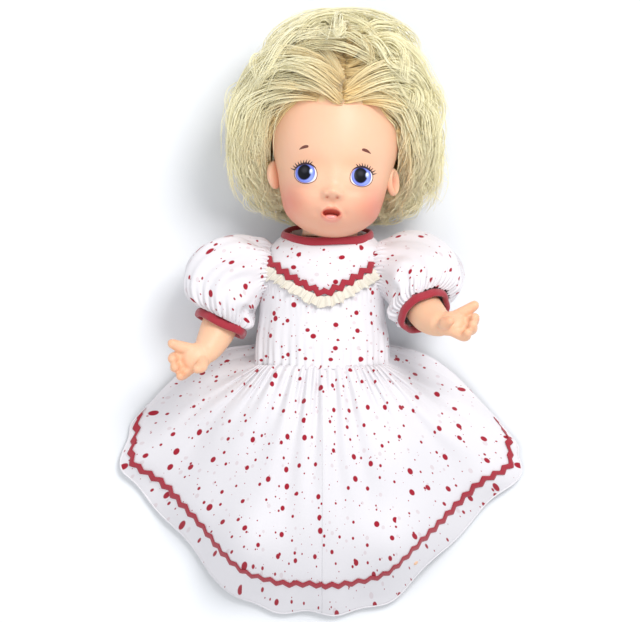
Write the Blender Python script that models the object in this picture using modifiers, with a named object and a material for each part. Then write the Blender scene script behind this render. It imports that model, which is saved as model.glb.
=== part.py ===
"""Battery feeding doll, 16-inch class, lying on its back in its dress.

Frame: +Z up (the way the face looks), +Y towards the crown, +X towards the doll's left hand.
The origin is the middle of the outline on the surface that the doll lies on. Lengths are in metres.
"""

import math

import bmesh
import bpy
from mathutils import Matrix, Vector

MM = 0.001
GAP = 0.3 * MM

# Driving dimensions
NECK = Vector((0.005, 0.050, 0.041))  # where the head turns
HEAD_TILT = math.radians(3.4)  # the head leans towards the doll's left
HEAD_CENTRE = Vector((0.0, 0.055, 0.013))  # in the head's own frame, from NECK
HEAD_HALF = Vector((0.041, 0.058, 0.046))  # half width, height and depth
SKIN_WALL = 2.2 * MM
TORSO_Z = 0.0345  # height of the torso's middle plane
TORSO_FLAT = 0.745  # depth over width
TORSO_WALL = 2.0 * MM
SHOULDER_Y, SHOULDER_X, SHOULDER_R = 0.031, 0.0445, 0.0130
SHOULDER_Z = 0.0375
HIP_Y, HIP_X, HIP_R = -0.064, 0.0285, 0.0155
HIP_Z = 0.0325
RIGHT_ARM_LIFT, LEFT_ARM_LIFT = math.radians(2), math.radians(38)
WAIST_Y = -0.034
SKIRT_CENTRE_Y, SKIRT_RADIUS = -0.055, 0.1400
CLOTH = 1.2 * MM
TOOTH_MODULE, SMALL_TEETH, LARGE_TEETH = 0.9 * MM, 8, 24
NECK_BORE = 8.4 * MM

# Colours: (red, green, blue), roughness, metallic
SKIN = ((0.85, 0.50, 0.33), 0.45, 0.0)
HAIR = ((0.90, 0.80, 0.50), 0.40, 0.0)
WHITE_CLOTH = ((0.88, 0.86, 0.87), 0.90, 0.0)
RED_CLOTH = ((0.42, 0.02, 0.04), 0.85, 0.0)
LACE = ((0.86, 0.84, 0.78), 0.90, 0.0)
HARD_PLASTIC = ((0.80, 0.55, 0.40), 0.40, 0.0)
WHITE_PLASTIC = ((0.85, 0.84, 0.80), 0.35, 0.0)
DARK_PLASTIC = ((0.05, 0.05, 0.06), 0.45, 0.0)
PINK = ((0.80, 0.25, 0.22), 0.35, 0.0)
STEEL = ((0.62, 0.62, 0.64), 0.30, 1.0)
BRASS = ((0.78, 0.60, 0.28), 0.30, 1.0)
BOARD_GREEN = ((0.05, 0.25, 0.12), 0.50, 0.0)
CLEAR_TUBE = ((0.78, 0.80, 0.78), 0.25, 0.0)


# ---------------------------------------------------------------- helpers

def clear_scene():
    for obj in list(bpy.data.objects):
        bpy.data.objects.remove(obj, do_unlink=True)


def collection(name):
    made = bpy.data.collections.new(name)
    bpy.context.scene.collection.children.link(made)
    return made


def material(name, look):
    colour, roughness, metallic = look
    found = bpy.data.materials.get(name)
    if found:
        return found
    made = bpy.data.materials.new(name)
    made.use_nodes = True
    shader = made.node_tree.nodes["Principled BSDF"]
    shader.inputs["Base Color"].default_value = (*colour, 1.0)
    shader.inputs["Roughness"].default_value = roughness
    shader.inputs["Metallic"].default_value = metallic
    return made


def empty(name, location=(0, 0, 0), rotation=(0, 0, 0), parent=None):
    made = bpy.data.objects.new(name, None)
    PARTS.objects.link(made)
    made.location, made.rotation_euler, made.parent = location, rotation, parent
    return made


def add(name, data, look=None, parent=None, location=(0, 0, 0), smooth=True):
    """A named object in the doll's collection, or a hidden cutter if it has no look."""
    made = bpy.data.objects.new(name, data)
    made.location, made.parent = location, parent
    if look is None:
        CUTTERS.objects.link(made)
        made.hide_render, made.display_type = True, "WIRE"
        return made
    PARTS.objects.link(made)
    data.materials.clear()
    data.materials.append(material(name, look))
    if smooth and made.type == "MESH":
        data.shade_smooth()
        data.set_sharp_from_angle(angle=math.radians(35))
    return made


def new_mesh(build, name):
    """A mesh filled in by a function that takes a bmesh."""
    work = bmesh.new()
    build(work)
    mesh = bpy.data.meshes.new(name)
    work.to_mesh(mesh)
    work.free()
    return mesh


def baked(obj, weld=0.02 * MM, turn_out=True):
    """The object's evaluated mesh, caps welded, in its parent's frame. The object is removed."""
    bpy.context.view_layer.update()
    graph = bpy.context.evaluated_depsgraph_get()
    mesh = bpy.data.meshes.new_from_object(obj.evaluated_get(graph))
    mesh.transform(obj.matrix_local)
    work = bmesh.new()
    work.from_mesh(mesh)
    bmesh.ops.remove_doubles(work, verts=work.verts, dist=weld)
    if turn_out:
        bmesh.ops.recalc_face_normals(work, faces=work.faces)
    work.to_mesh(mesh)
    work.free()
    bpy.data.objects.remove(obj, do_unlink=True)
    return mesh


def box_mesh(size, centre, name="box"):
    def build(work):
        place = Matrix.Translation(centre) @ Matrix.Diagonal((*size, 1))
        bmesh.ops.create_cube(work, size=1.0, matrix=place)
    return new_mesh(build, name)


def rod_mesh(radius, low, high, segments=24, end_radius=None, name="rod"):
    """A cylinder or cone from point low to point high."""
    low, high = Vector(low), Vector(high)
    along = high - low

    def build(work):
        turn = along.to_track_quat("Z", "Y").to_matrix().to_4x4()
        place = Matrix.Translation((low + high) / 2) @ turn
        bmesh.ops.create_cone(work, cap_ends=True, segments=segments, radius1=radius,
                              radius2=radius if end_radius is None else end_radius,
                              depth=along.length, matrix=place)
    return new_mesh(build, name)


def ball_mesh(half, centre, across=20, rings=12, name="ball"):
    def build(work):
        place = Matrix.Translation(centre) @ Matrix.Diagonal((*half, 1))
        bmesh.ops.create_uvsphere(work, u_segments=across, v_segments=rings, radius=1.0, matrix=place)
    return new_mesh(build, name)


def turned_mesh(profile, steps=32, name="turned"):
    """A profile of (radius, height) points, outer side first and top to bottom, turned about Z."""
    mesh = bpy.data.meshes.new(name)
    edges = [(i, i + 1) for i in range(len(profile) - 1)]
    if profile[0] != profile[-1] and profile[0][0] > 0 and profile[-1][0] > 0:
        edges.append((len(profile) - 1, 0))
    mesh.from_pydata([(r, 0, h) for r, h in profile], edges, [])
    obj = add(name + "_profile", mesh)
    screw = obj.modifiers.new("turn", "SCREW")
    screw.steps = screw.render_steps = steps
    screw.use_merge_vertices, screw.merge_threshold = True, 0.00005
    return baked(obj)


def tube_mesh(points, radii, rounds=3, smooth_steps=3, name="tube"):
    """A round tube through the points, with one radius or one for each point."""
    if isinstance(radii, (int, float)):
        radii = [radii] * len(points)
    curve = bpy.data.curves.new(name, "CURVE")
    curve.dimensions, curve.bevel_depth, curve.bevel_resolution = "3D", 1.0, rounds
    curve.use_fill_caps, curve.resolution_u = True, smooth_steps
    spline = curve.splines.new("BEZIER")
    spline.bezier_points.add(len(points) - 1)
    for spot, at, radius in zip(spline.bezier_points, points, radii):
        spot.co, spot.radius = at, radius
        spot.handle_left_type = spot.handle_right_type = "AUTO"
    return baked(add(name + "_path", curve))


def flat_mesh(outline, thickness, low, name="flat"):
    """A closed outline in the XY plane, given a thickness upwards from height low."""
    def build(work):
        rings = [[work.verts.new((x, y, z)) for x, y in outline] for z in (low, low + thickness)]
        caps = [work.faces.new(ring) for ring in rings]
        for i, near in enumerate(rings[0]):
            j = (i + 1) % len(outline)
            work.faces.new((near, rings[0][j], rings[1][j], rings[1][i]))
        bmesh.ops.triangulate(work, faces=caps)
        bmesh.ops.recalc_face_normals(work, faces=work.faces)
    return new_mesh(build, name)


def turned_to(mesh, matrix):
    mesh.transform(matrix)
    if matrix.determinant() < 0:
        mesh.flip_normals()
    return mesh


def combine(first, others, operation):
    """first with every other mesh joined to it or cut from it, as one mesh."""
    base = add("work_piece", first)
    for index, other in enumerate(others):
        helper = add(f"work_tool_{index}", other)
        step = base.modifiers.new(f"step_{index}", "BOOLEAN")
        step.operation, step.object, step.solver = operation, helper, "EXACT"
    mesh = baked(base, 0.001 * MM, False)
    for helper in [o for o in bpy.data.objects if o.name.startswith("work_tool_")]:
        bpy.data.objects.remove(helper, do_unlink=True)
    return mesh


def join(first, *others):
    return combine(first, others, "UNION")


def cut(first, *others):
    return combine(first, others, "DIFFERENCE")


def shelled(mesh, wall):
    """An open surface given a wall on its inner side."""
    obj = add("shell_work", mesh)
    step = obj.modifiers.new("wall", "SOLIDIFY")
    step.thickness, step.offset, step.use_even_offset = wall, -1, True
    return baked(obj, 0.001 * MM, False)


def grid_mesh(rows, closed_round, name="grid"):
    """A surface through rows of points, each row running round or across."""
    def build(work):
        made = [[work.verts.new(p) for p in row] for row in rows]
        count = len(rows[0])
        for near, far in zip(made, made[1:]):
            for i in range(count if closed_round else count - 1):
                j = (i + 1) % count
                work.faces.new((near[i], near[j], far[j], far[i]))
        bmesh.ops.recalc_face_normals(work, faces=work.faces)
    return new_mesh(build, name)


# ---------------------------------------------------------------- head

def bump(at, centre, spread):
    """A smooth hill of height 1 on the head, at is a direction and centre is too."""
    return math.exp(-((at - centre).length / spread) ** 2)


def head_radius(direction, grow=0.0):
    """Distance from the head's centre to its skin in a direction, cheeks, chin and nose included."""
    half = HEAD_HALF
    scaled = Vector((direction.x / half.x, direction.y / half.y, direction.z / half.z))
    reach = 1.0 / scaled.length
    for side in (-1, 1):
        reach += 5.0 * MM * bump(direction, Vector((0.50 * side, -0.42, 0.75)).normalized(), 0.42)
        reach -= 1.5 * MM * bump(direction, Vector((0.42 * side, 0.18, 0.90)).normalized(), 0.30)
    reach += 3.0 * MM * bump(direction, Vector((0, -0.68, 0.72)).normalized(), 0.30)
    reach += 5.0 * MM * bump(direction, Vector((0, -0.53, 0.85)).normalized(), 0.13)
    reach -= 3.0 * MM * bump(direction, Vector((0, -0.95, -0.30)).normalized(), 0.60)
    return reach + grow


def head_mesh(across, rings, grow=0.0, name="head"):
    def build(work):
        bmesh.ops.create_uvsphere(work, u_segments=across, v_segments=rings, radius=1.0,
                                  matrix=Matrix.Rotation(math.radians(-90), 4, "X"))
        for vert in work.verts:
            direction = vert.co.normalized()
            vert.co = HEAD_CENTRE + direction * head_radius(direction, grow)
    return new_mesh(build, name)


MOUTH = Vector((0.0, 0.0130, 0.0475))  # middle of the lips, in the head's frame
MOUTH_HALF = Vector((7.0 * MM, 4.8 * MM))


def ear_mesh(side, grow=0.0):
    return turned_to(ball_mesh((3.2 * MM + grow, 9.0 * MM + grow, 5.5 * MM + grow), (0, 0, 0), 12, 8),
                     Matrix.Translation((side * 0.0405, 0.037, 0.013)) @ Matrix.Rotation(side * 0.35, 4, "Y"))


def make_head():
    outer = join(head_mesh(24, 18), ear_mesh(-1), ear_mesh(1))
    inner = head_mesh(18, 12, -SKIN_WALL)
    neck_hole = rod_mesh(NECK_BORE, (0, -0.02, 0), (0, 0.020, 0), 28)
    mouth_hole = turned_to(rod_mesh(1.0, (0, 0, -9 * MM), (0, 0, 12 * MM), 20),
                           Matrix.Translation(MOUTH) @ Matrix.Diagonal((*MOUTH_HALF, 1, 1)))
    add("head_shell", cut(outer, inner, neck_hole, mouth_hole), SKIN, HEAD)

    hair = ball_mesh((0.0715, 0.0695, 0.0600), HEAD_CENTRE + Vector((0, 0.0180, -0.0030)), 24, 14)
    face = turned_to(ball_mesh((0.0375, 0.0520, 0.0600), (0, 0, 0), 18, 10),
                     Matrix.Translation(HEAD_CENTRE + Vector((0, -0.0260, 0.0520))))
    below = box_mesh((0.30, 0.10, 0.30), (0, -0.0450, 0))
    floor = box_mesh((0.30, 0.30, 0.10), (0, 0.05, -NECK.z - 0.05))
    round_neck = rod_mesh(0.030, (0, -0.02, 0.006), (0, 0.020, 0.006), 24)
    around_head = join(head_mesh(16, 12, 0.0018), ear_mesh(-1, 0.0012), ear_mesh(1, 0.0012))
    add("hair", cut(cut(hair, face, below, floor, round_neck), around_head), HAIR, HEAD)

    spool = [(10.0, 14.0), (10.0, 12.2), (8.0, 12.2), (8.0, -7.0), (10.5, -7.0), (10.5, -9.0), (5.8, -9.0),
             (5.8, 14.0)]
    spool = turned_mesh([(r * MM, h * MM) for r, h in spool], 24)
    add("neck_spool", turned_to(spool, Matrix.Rotation(math.radians(-90), 4, "X")), WHITE_PLASTIC, HEAD)


def involute(base_radius, radius):
    """Angle that the involute has turned by the time it reaches a radius."""
    pressure = math.acos(min(1.0, base_radius / radius))
    return math.tan(pressure) - pressure


def gear_outline(teeth, turn=0.0):
    """Involute teeth with backlash, as points round the gear."""
    pitch = teeth * TOOTH_MODULE / 2
    base = pitch * math.cos(math.radians(22))
    tip, root = pitch + 0.80 * TOOTH_MODULE, pitch - 1.15 * TOOTH_MODULE
    half_tooth = math.pi / 2 / teeth - 0.13 * TOOTH_MODULE / pitch
    flank = [root, pitch, tip] if base < root else [root, base, pitch, tip]
    angles = [involute(base, max(base, r)) - involute(base, pitch) - half_tooth for r in flank]
    outline = []
    for tooth in range(teeth):
        middle = turn + 2 * math.pi * tooth / teeth
        rising = list(zip(flank, angles))
        for radius, angle in rising + [(r, -a) for r, a in reversed(rising)]:
            outline.append((radius * math.cos(middle + angle), radius * math.sin(middle + angle)))
    return outline


# The gear axes run along X. Their places are (height, depth) in the head's frame.
GEAR_REACH = TOOTH_MODULE * (SMALL_TEETH + LARGE_TEETH) / 2
MOTOR_AT = Vector((0.066, -0.001))
IDLER_AT = MOTOR_AT + GEAR_REACH * Vector((-math.cos(0.60), math.sin(0.60)))
CAM_AT = IDLER_AT + GEAR_REACH * Vector((-math.cos(0.35), math.sin(0.35)))
LEVER_AT = Vector((0.0300, 0.0300))
PLATE_X = 10.0 * MM


def along_x(mesh, at):
    """Turns a shape drawn about Z so that its axis is X, at (height, depth) in the head."""
    about = Matrix(((0, 0, 1, 0), (1, 0, 0, at.x), (0, 1, 0, at.y), (0, 0, 0, 1)))
    return turned_to(mesh, about)


def towards(a, b):
    return math.atan2(b.y - a.y, b.x - a.x)


def x_rod(radius, low, high, at, segments=20):
    return rod_mesh(radius, (low, at.x, at.y), (high, at.x, at.y), segments)


def make_mechanism():
    """Motor, two-stage gear train with a cam peg, and the lever that works the lower lip."""
    base = turned_to(turned_mesh([(11.5 * MM, 16.5 * MM), (11.5 * MM, 14.4 * MM), (6.0 * MM, 14.4 * MM),
                                  (6.0 * MM, 16.5 * MM)], 24), Matrix.Rotation(math.radians(-90), 4, "X"))
    add("mechanism_base", base, WHITE_PLASTIC, HEAD)
    shafts = {"motor": MOTOR_AT, "idler": IDLER_AT, "cam": CAM_AT, "lever": LEVER_AT}
    for side, label in ((-1, "right"), (1, "left")):
        plate = box_mesh((2 * MM, 0.057, 0.028), (side * (PLATE_X + 1 * MM), 0.0460, 0.0080))
        nose = box_mesh((2 * MM, 0.018, 0.020), (side * (PLATE_X + 1 * MM), 0.0300, 0.0260))
        holes = [x_rod(2.0 * MM, side * 8 * MM, side * 14 * MM, at) for at in shafts.values()]
        add(f"gear_plate_{label}", cut(join(plate, nose), *holes), WHITE_PLASTIC, HEAD)

    can = x_rod(8.0 * MM, 13.0 * MM, 28.0 * MM, MOTOR_AT, 28)
    nose_ring = x_rod(3.5 * MM, 12.4 * MM, 13.5 * MM, MOTOR_AT)
    add("motor", join(can, nose_ring), STEEL, HEAD)

    pinion = along_x(flat_mesh(gear_outline(SMALL_TEETH, towards(MOTOR_AT, IDLER_AT)), 6 * MM, 2 * MM), MOTOR_AT)
    add("motor_pinion", join(x_rod(1.1 * MM, 1.2 * MM, 12.0 * MM, MOTOR_AT, 14), pinion), BRASS, HEAD)

    half_pitch = math.pi / LARGE_TEETH
    wheel = along_x(flat_mesh(gear_outline(LARGE_TEETH, towards(IDLER_AT, MOTOR_AT) + half_pitch),
                              3 * MM, 3.5 * MM), IDLER_AT)
    small = along_x(flat_mesh(gear_outline(SMALL_TEETH, towards(IDLER_AT, CAM_AT)), 9.0 * MM, -5 * MM), IDLER_AT)
    idler = cut(join(wheel, small), x_rod(1.6 * MM, -9 * MM, 9 * MM, IDLER_AT, 16))
    add("idler_gear", idler, WHITE_PLASTIC, HEAD)

    wheel = along_x(flat_mesh(gear_outline(LARGE_TEETH, towards(CAM_AT, IDLER_AT) + half_pitch),
                              3 * MM, -4.5 * MM), CAM_AT)
    peg_at = CAM_AT + Vector((0, 7.0 * MM))
    cam = cut(join(wheel, x_rod(1.6 * MM, -8.5 * MM, -4 * MM, peg_at, 14)),
              x_rod(1.6 * MM, -9 * MM, 9 * MM, CAM_AT, 16))
    add("cam_gear", cam, WHITE_PLASTIC, HEAD)
    for label, at in (("idler", IDLER_AT), ("cam", CAM_AT), ("lever", LEVER_AT)):
        add(f"{label}_shaft", x_rod(1.5 * MM, -12 * MM, 12 * MM, at, 16), STEEL, HEAD)

    pad = Vector((0, 9.2 * MM, 30.0 * MM))
    hub = x_rod(3.6 * MM, -7.5 * MM, 8.5 * MM, LEVER_AT, 16)
    arm = rod_mesh(1.8 * MM, (7.0 * MM, LEVER_AT.x - 2 * MM, LEVER_AT.y + 1 * MM), (7.0 * MM, pad.y, pad.z), 10)
    tail = rod_mesh(1.6 * MM, (-6.0 * MM, LEVER_AT.x + 2 * MM, LEVER_AT.y - 2 * MM), (-6.0 * MM, 0.0460, 0.0235), 10)
    bar = rod_mesh(1.8 * MM, (-6.5 * MM, pad.y, pad.z), (8.5 * MM, pad.y, pad.z), 12)
    lever = cut(join(arm, bar, hub, tail), x_rod(1.6 * MM, -9 * MM, 9 * MM, LEVER_AT, 16))
    add("chew_lever", lever, DARK_PLASTIC, HEAD)

    cup = turned_mesh([(6.6 * MM, 0.5 * MM), (6.6 * MM, -9.5 * MM), (2.8 * MM, -11.0 * MM), (2.8 * MM, -9.6 * MM),
                       (5.6 * MM, -8.2 * MM), (5.6 * MM, 0.5 * MM)], 20)
    add("mouth_cup", turned_to(cup, Matrix.Translation(MOUTH) @ Matrix.Diagonal((1, 0.667, 1, 1))), PINK, HEAD)
    add("tongue", ball_mesh((3.4 * MM, 0.7 * MM, 3.8 * MM), MOUTH + Vector((0, -2.6 * MM, -3.9 * MM)), 14, 8), PINK, HEAD)
    start = MOUTH + Vector((0, 0, -13.8 * MM))
    add("feed_tube_head", tube_mesh([start, (0, 0.0170, 0.0220), (0, 0.0200, 0.0090), (0, 0.0180, 0.0005),
                                             (0, -0.0045, 0)], [2.4 * MM] * 5, 1, 4), CLEAR_TUBE, HEAD)


# ---------------------------------------------------------------- torso

TORSO_PROFILE = [(0.0, 48.0), (17.0, 47.5), (26.0, 45.0), (33.0, 40.0), (37.0, 30.0), (37.0, 0.0),
                 (39.0, -36.0), (38.0, -56.0), (34.0, -71.0), (24.0, -81.5), (10.0, -86.5), (0.0, -87.0)]  # radius at each distance along the body, in millimetres


def flattened(mesh):
    """A shape turned about Z, laid along the body and flattened front to back."""
    flatten = Matrix.Translation((0, 0, TORSO_Z)) @ Matrix.Diagonal((1, 1, TORSO_FLAT, 1))
    return turned_to(mesh, flatten @ Matrix.Rotation(math.radians(-90), 4, "X"))


def turned_mesh_open(profile, steps=28, name="turned"):
    mesh = bpy.data.meshes.new(name)
    mesh.from_pydata([(r, 0, h) for r, h in profile], [(i, i + 1) for i in range(len(profile) - 1)], [])
    obj = add(name + "_profile", mesh)
    screw = obj.modifiers.new("turn", "SCREW")
    screw.steps = screw.render_steps = steps
    screw.use_merge_vertices, screw.merge_threshold = True, 0.00005
    return baked(obj)


def screw_base(x):
    """Height of the torso's back at the outer edge of a screw's boss."""
    return TORSO_Z - TORSO_FLAT * math.sqrt(0.0375 ** 2 - (abs(x) + 4.4 * MM) ** 2)


SCREWS = [(25.0 * MM, 8.0 * MM), (25.0 * MM, -40.0 * MM), (-25.0 * MM, 8.0 * MM), (-25.0 * MM, -40.0 * MM)]
BUTTON_AT, SPEAKER_AT = (0.0, -0.022), (0.0, 0.014)
DOOR_SIZE, DOOR_Y = (0.0350, 0.0540), -0.012


def make_torso():
    skin = shelled(flattened(turned_mesh_open([(r * MM, h * MM) for r, h in TORSO_PROFILE])), TORSO_WALL)
    sockets = [rod_mesh(NECK_BORE, (NECK.x, 0.035, NECK.z), (NECK.x, 0.060, NECK.z), 28)]
    for side in (-1, 1):
        sockets.append(rod_mesh(SHOULDER_R + 0.9 * MM, (side * 0.0285, SHOULDER_Y, SHOULDER_Z),
                                (side * 0.07, SHOULDER_Y, SHOULDER_Z), 28))
        sockets.append(rod_mesh(HIP_R + 1.4 * MM, (side * 0.0122, HIP_Y, HIP_Z), (side * 0.07, HIP_Y, HIP_Z), 28))
        sockets.append(box_mesh((0.06, 0.05, 0.0338), (side * 0.0422, HIP_Y - 0.0250, HIP_Z)))
        sockets.append(box_mesh((0.06, 0.087, 0.05), (side * 0.0422, HIP_Y - 0.0265, HIP_Z + 0.025)))
    skin = cut(skin, *sockets)
    big = 0.3
    front = cut(skin.copy(), box_mesh((big, big, big), (0, 0, TORSO_Z + GAP / 2 - big / 2)))
    back = cut(skin, box_mesh((big, big, big), (0, 0, TORSO_Z - GAP / 2 + big / 2)))

    bosses, holes = [], []
    for x, y in SCREWS:
        base = screw_base(x)
        bosses.append(rod_mesh(4.4 * MM, (x, y, base + 0.5 * MM), (x, y, TORSO_Z - 0.6 * MM), 16))
        holes += [rod_mesh(3.4 * MM, (x, y, base - 9 * MM), (x, y, base + 2.4 * MM), 16),
                  rod_mesh(1.8 * MM, (x, y, base), (x, y, TORSO_Z + 1 * MM), 12)]
    door_hole = box_mesh((DOOR_SIZE[0] + 0.8 * MM, DOOR_SIZE[1] + 0.8 * MM, 0.012), (0, DOOR_Y, 0.0085))
    switch_hole = box_mesh((7.0 * MM, 9.0 * MM, 0.012), (0.0, 0.0280, 0.0100))
    outlet_hole = rod_mesh(4.8 * MM, (0, -0.070, 0.0265), (0, -0.095, 0.0265), 20)
    add("torso_back", cut(join(back, *bosses), *holes, door_hole, switch_hole, outlet_hole), HARD_PLASTIC, BODY)

    bosses, holes = [], []
    for x, y in SCREWS:
        bosses.append(rod_mesh(4.4 * MM, (x, y, TORSO_Z + 0.6 * MM), (x, y, 2 * TORSO_Z - screw_base(x)), 16))
        holes.append(rod_mesh(1.7 * MM, (x, y, TORSO_Z - 1 * MM), (x, y, TORSO_Z + 12 * MM), 12))
    holes.append(rod_mesh(8.6 * MM, (*BUTTON_AT, 0.052), (*BUTTON_AT, 0.080), 28))
    for i in range(7):
        reach = 0 if i == 6 else 5.5 * MM
        at = (SPEAKER_AT[0] + reach * math.cos(i * math.pi / 3), SPEAKER_AT[1] + reach * math.sin(i * math.pi / 3))
        holes.append(rod_mesh(1.2 * MM, (*at, 0.055), (*at, 0.080), 10))
    add("torso_front", cut(join(front, *bosses), *holes), HARD_PLASTIC, BODY)

    for index, (x, y) in enumerate(SCREWS):
        low = screw_base(x) + 0.4 * MM
        head = rod_mesh(2.9 * MM, (x, y, low), (x, y, low + 1.9 * MM), 16)
        shank = rod_mesh(1.4 * MM, (x, y, low + 1 * MM), (x, y, TORSO_Z + 10 * MM), 12)
        slot = box_mesh((4.2 * MM, 0.8 * MM, 1.0 * MM), (x, y, low))
        add(f"body_screw_{index + 1}", cut(join(head, shank), slot), STEEL, BODY)


def make_electrics():
    wide, long = DOOR_SIZE
    low, high = 10.9 * MM, 26.8 * MM
    tray = box_mesh((wide, long, high - low), (0, DOOR_Y, (low + high) / 2))
    room = box_mesh((wide - 3 * MM, long - 1.4 * MM, high - low), (0, DOOR_Y, (low + high) / 2 - 1.5 * MM))
    add("battery_box", cut(tray, room), DARK_PLASTIC, BODY)
    cell_r, cell_long = 7.1 * MM, 0.0480
    for label, side in (("battery_1", -1), ("battery_2", 1)):
        x, z = side * 7.6 * MM, 17.9 * MM
        can = rod_mesh(cell_r, (x, DOOR_Y - cell_long / 2, z), (x, DOOR_Y + cell_long / 2 - 1.2 * MM, z), 24)
        tip = rod_mesh(2.4 * MM, (x, DOOR_Y, z), (x, DOOR_Y + cell_long / 2, z), 16)
        add(label, join(can, tip), DARK_PLASTIC, BODY)
    for label, end in (("contact_plus", 1), ("contact_minus", -1)):
        add(label, box_mesh((26 * MM, 0.5 * MM, 10 * MM), (0, DOOR_Y + end * (long / 2 - 1.3 * MM), 18 * MM)), STEEL, BODY)

    door = box_mesh((wide, long, 1.4 * MM), (0, DOOR_Y, 9.9 * MM))
    at = (0, DOOR_Y - long / 2 + 4.2 * MM)
    door = cut(door, rod_mesh(1.7 * MM, (*at, 0.004), (*at, 0.014), 14))
    add("battery_door", door, HARD_PLASTIC, BODY)
    screw = join(rod_mesh(2.8 * MM, (*at, 7.6 * MM), (*at, 8.9 * MM), 16),
                 rod_mesh(1.4 * MM, (*at, 8.2 * MM), (*at, 10.6 * MM), 12))
    add("door_screw", screw, STEEL, BODY)

    y, floor = 0.0280, 13.2 * MM
    add("switch_housing", box_mesh((12 * MM, 13 * MM, 5 * MM), (0, y, floor + 2.5 * MM)), DARK_PLASTIC, BODY)
    knob = join(box_mesh((5.6 * MM, 4.0 * MM, 3.0 * MM), (0, y - 2 * MM, 11.2 * MM)),
                box_mesh((5.6 * MM, 1.2 * MM, 1.2 * MM), (0, y - 2 * MM, 9.4 * MM)))
    add("power_switch", knob, DARK_PLASTIC, BODY)

    x, y = SPEAKER_AT
    basket = turned_mesh([(r * MM, h * MM) for r, h in (
        (13.0, 57.6), (13.0, 56.0), (9.0, 50.0), (6.5, 50.0), (6.5, 46.5), (1.0, 46.5), (1.0, 50.8), (4.0, 51.6),
        (11.5, 56.6), (11.5, 57.6))], 18)
    add("speaker", turned_to(basket, Matrix.Translation((x, y, 0))), DARK_PLASTIC, BODY)

    board = box_mesh((34 * MM, 27 * MM, 1.6 * MM), (0, -0.0235, 45.0 * MM))
    chip = box_mesh((9 * MM, 9 * MM, 2.4 * MM), (-11 * MM, -0.0265, 43.2 * MM))
    key = rod_mesh(3.0 * MM, (*BUTTON_AT, 45.4 * MM), (*BUTTON_AT, 48.0 * MM), 16)
    add("circuit_board", join(board, chip, key), BOARD_GREEN, BODY)
    cap = rod_mesh(8.2 * MM, (*BUTTON_AT, 56.0 * MM), (*BUTTON_AT, 61.7 * MM), 28)
    collar = rod_mesh(9.6 * MM, (*BUTTON_AT, 54.4 * MM), (*BUTTON_AT, 56.4 * MM), 28)
    stem = rod_mesh(2.2 * MM, (*BUTTON_AT, 50.6 * MM), (*BUTTON_AT, 55.0 * MM), 14)
    add("tummy_button", join(cap, collar, stem), PINK, BODY)
    turns, pitch, radius, bottom = 4, 1.35 * MM, 4.6 * MM, 46.6 * MM
    steps = 10
    coil = [(BUTTON_AT[0] + radius * math.cos(2 * math.pi * i / steps),
             BUTTON_AT[1] + radius * math.sin(2 * math.pi * i / steps),
             bottom + pitch * i / steps) for i in range(turns * steps + 1)]
    add("button_spring", poly_tube(coil, 0.42 * MM, 0), STEEL, BODY)

    add("feed_tube_body", tube_mesh([(NECK.x, 0.0435, NECK.z), (0.0030, 0.0395, 0.0395), (0.0025, 0.0355, 0.0330), (0.0015, 0.0300, 0.0300),
                                     (0, 0.0, 0.0306), (0, -0.0450, 0.0300), (0, -0.0580, 0.0265),
                                     (0, -0.0770, 0.0265)], [2.4 * MM] * 8, 1, 3), CLEAR_TUBE, BODY)
    bush = turned_mesh([(6.0 * MM, 0), (6.0 * MM, -1.2 * MM), (4.4 * MM, -1.2 * MM), (4.4 * MM, -9.5 * MM),
                        (1.6 * MM, -9.5 * MM), (1.6 * MM, 0)], 20)
    bush = turned_to(bush, Matrix.Translation((0, -0.0887, 0.0265)) @ Matrix.Rotation(math.radians(90), 4, "X"))
    add("outlet_bush", bush, WHITE_PLASTIC, BODY)
    route = [(9.0, 18.5, 21.5), (9.0, 26.0, 24.0), (9.0, 33.0, 28.5), (9.0, 37.5, 34.0), (9.0, 41.0, 40.0),
             (9.0, 44.0, 41.0), (9.2, 52.0, 41.0), (9.8, 68.0, 41.0), (10.2, 71.0, 38.0), (11.0, 73.0, 32.0),
             (22.0, 76.0, 31.0), (28.0, 86.0, 34.0), (29.0, 103.0, 40.0)]
    add("motor_wire", poly_tube([Vector(p) * MM for p in route], 0.8 * MM), DARK_PLASTIC, BODY)


def poly_tube(points, radius, rounds=1):
    curve = bpy.data.curves.new("wire", "CURVE")
    curve.dimensions, curve.bevel_depth, curve.bevel_resolution = "3D", radius, rounds
    curve.use_fill_caps = True
    spline = curve.splines.new("POLY")
    spline.points.add(len(points) - 1)
    for spot, at in zip(spline.points, points):
        spot.co = (*at, 1)
    return baked(add("wire_path", curve))


def make_axles():
    """The rods that the arms and the legs turn on, each in its own carrier."""
    for label, y, z, reach, carrier_z in (("shoulder", SHOULDER_Y, SHOULDER_Z, 0.0400, SHOULDER_Z + 0.0035),
                                          ("hip", HIP_Y, HIP_Z, 0.0240, HIP_Z + 0.0065)):
        add(f"{label}_axle", rod_mesh(2.6 * MM, (-reach, y, z), (reach, y, z), 18), STEEL, BODY)
        half = 0.0235 if label == "shoulder" else 0.0095
        carrier = box_mesh((2 * half, 9 * MM, 18 * MM), (0, y, carrier_z))
        clear = box_mesh((2 * half - 6 * MM, 11 * MM, 20 * MM), (0, y, carrier_z - 4.0 * MM))
        bore = rod_mesh(2.9 * MM, (-0.06, y, z), (0.06, y, z), 18)
        add(f"{label}_carrier", cut(carrier, clear, bore), WHITE_PLASTIC, BODY)


# ---------------------------------------------------------------- limbs

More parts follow.
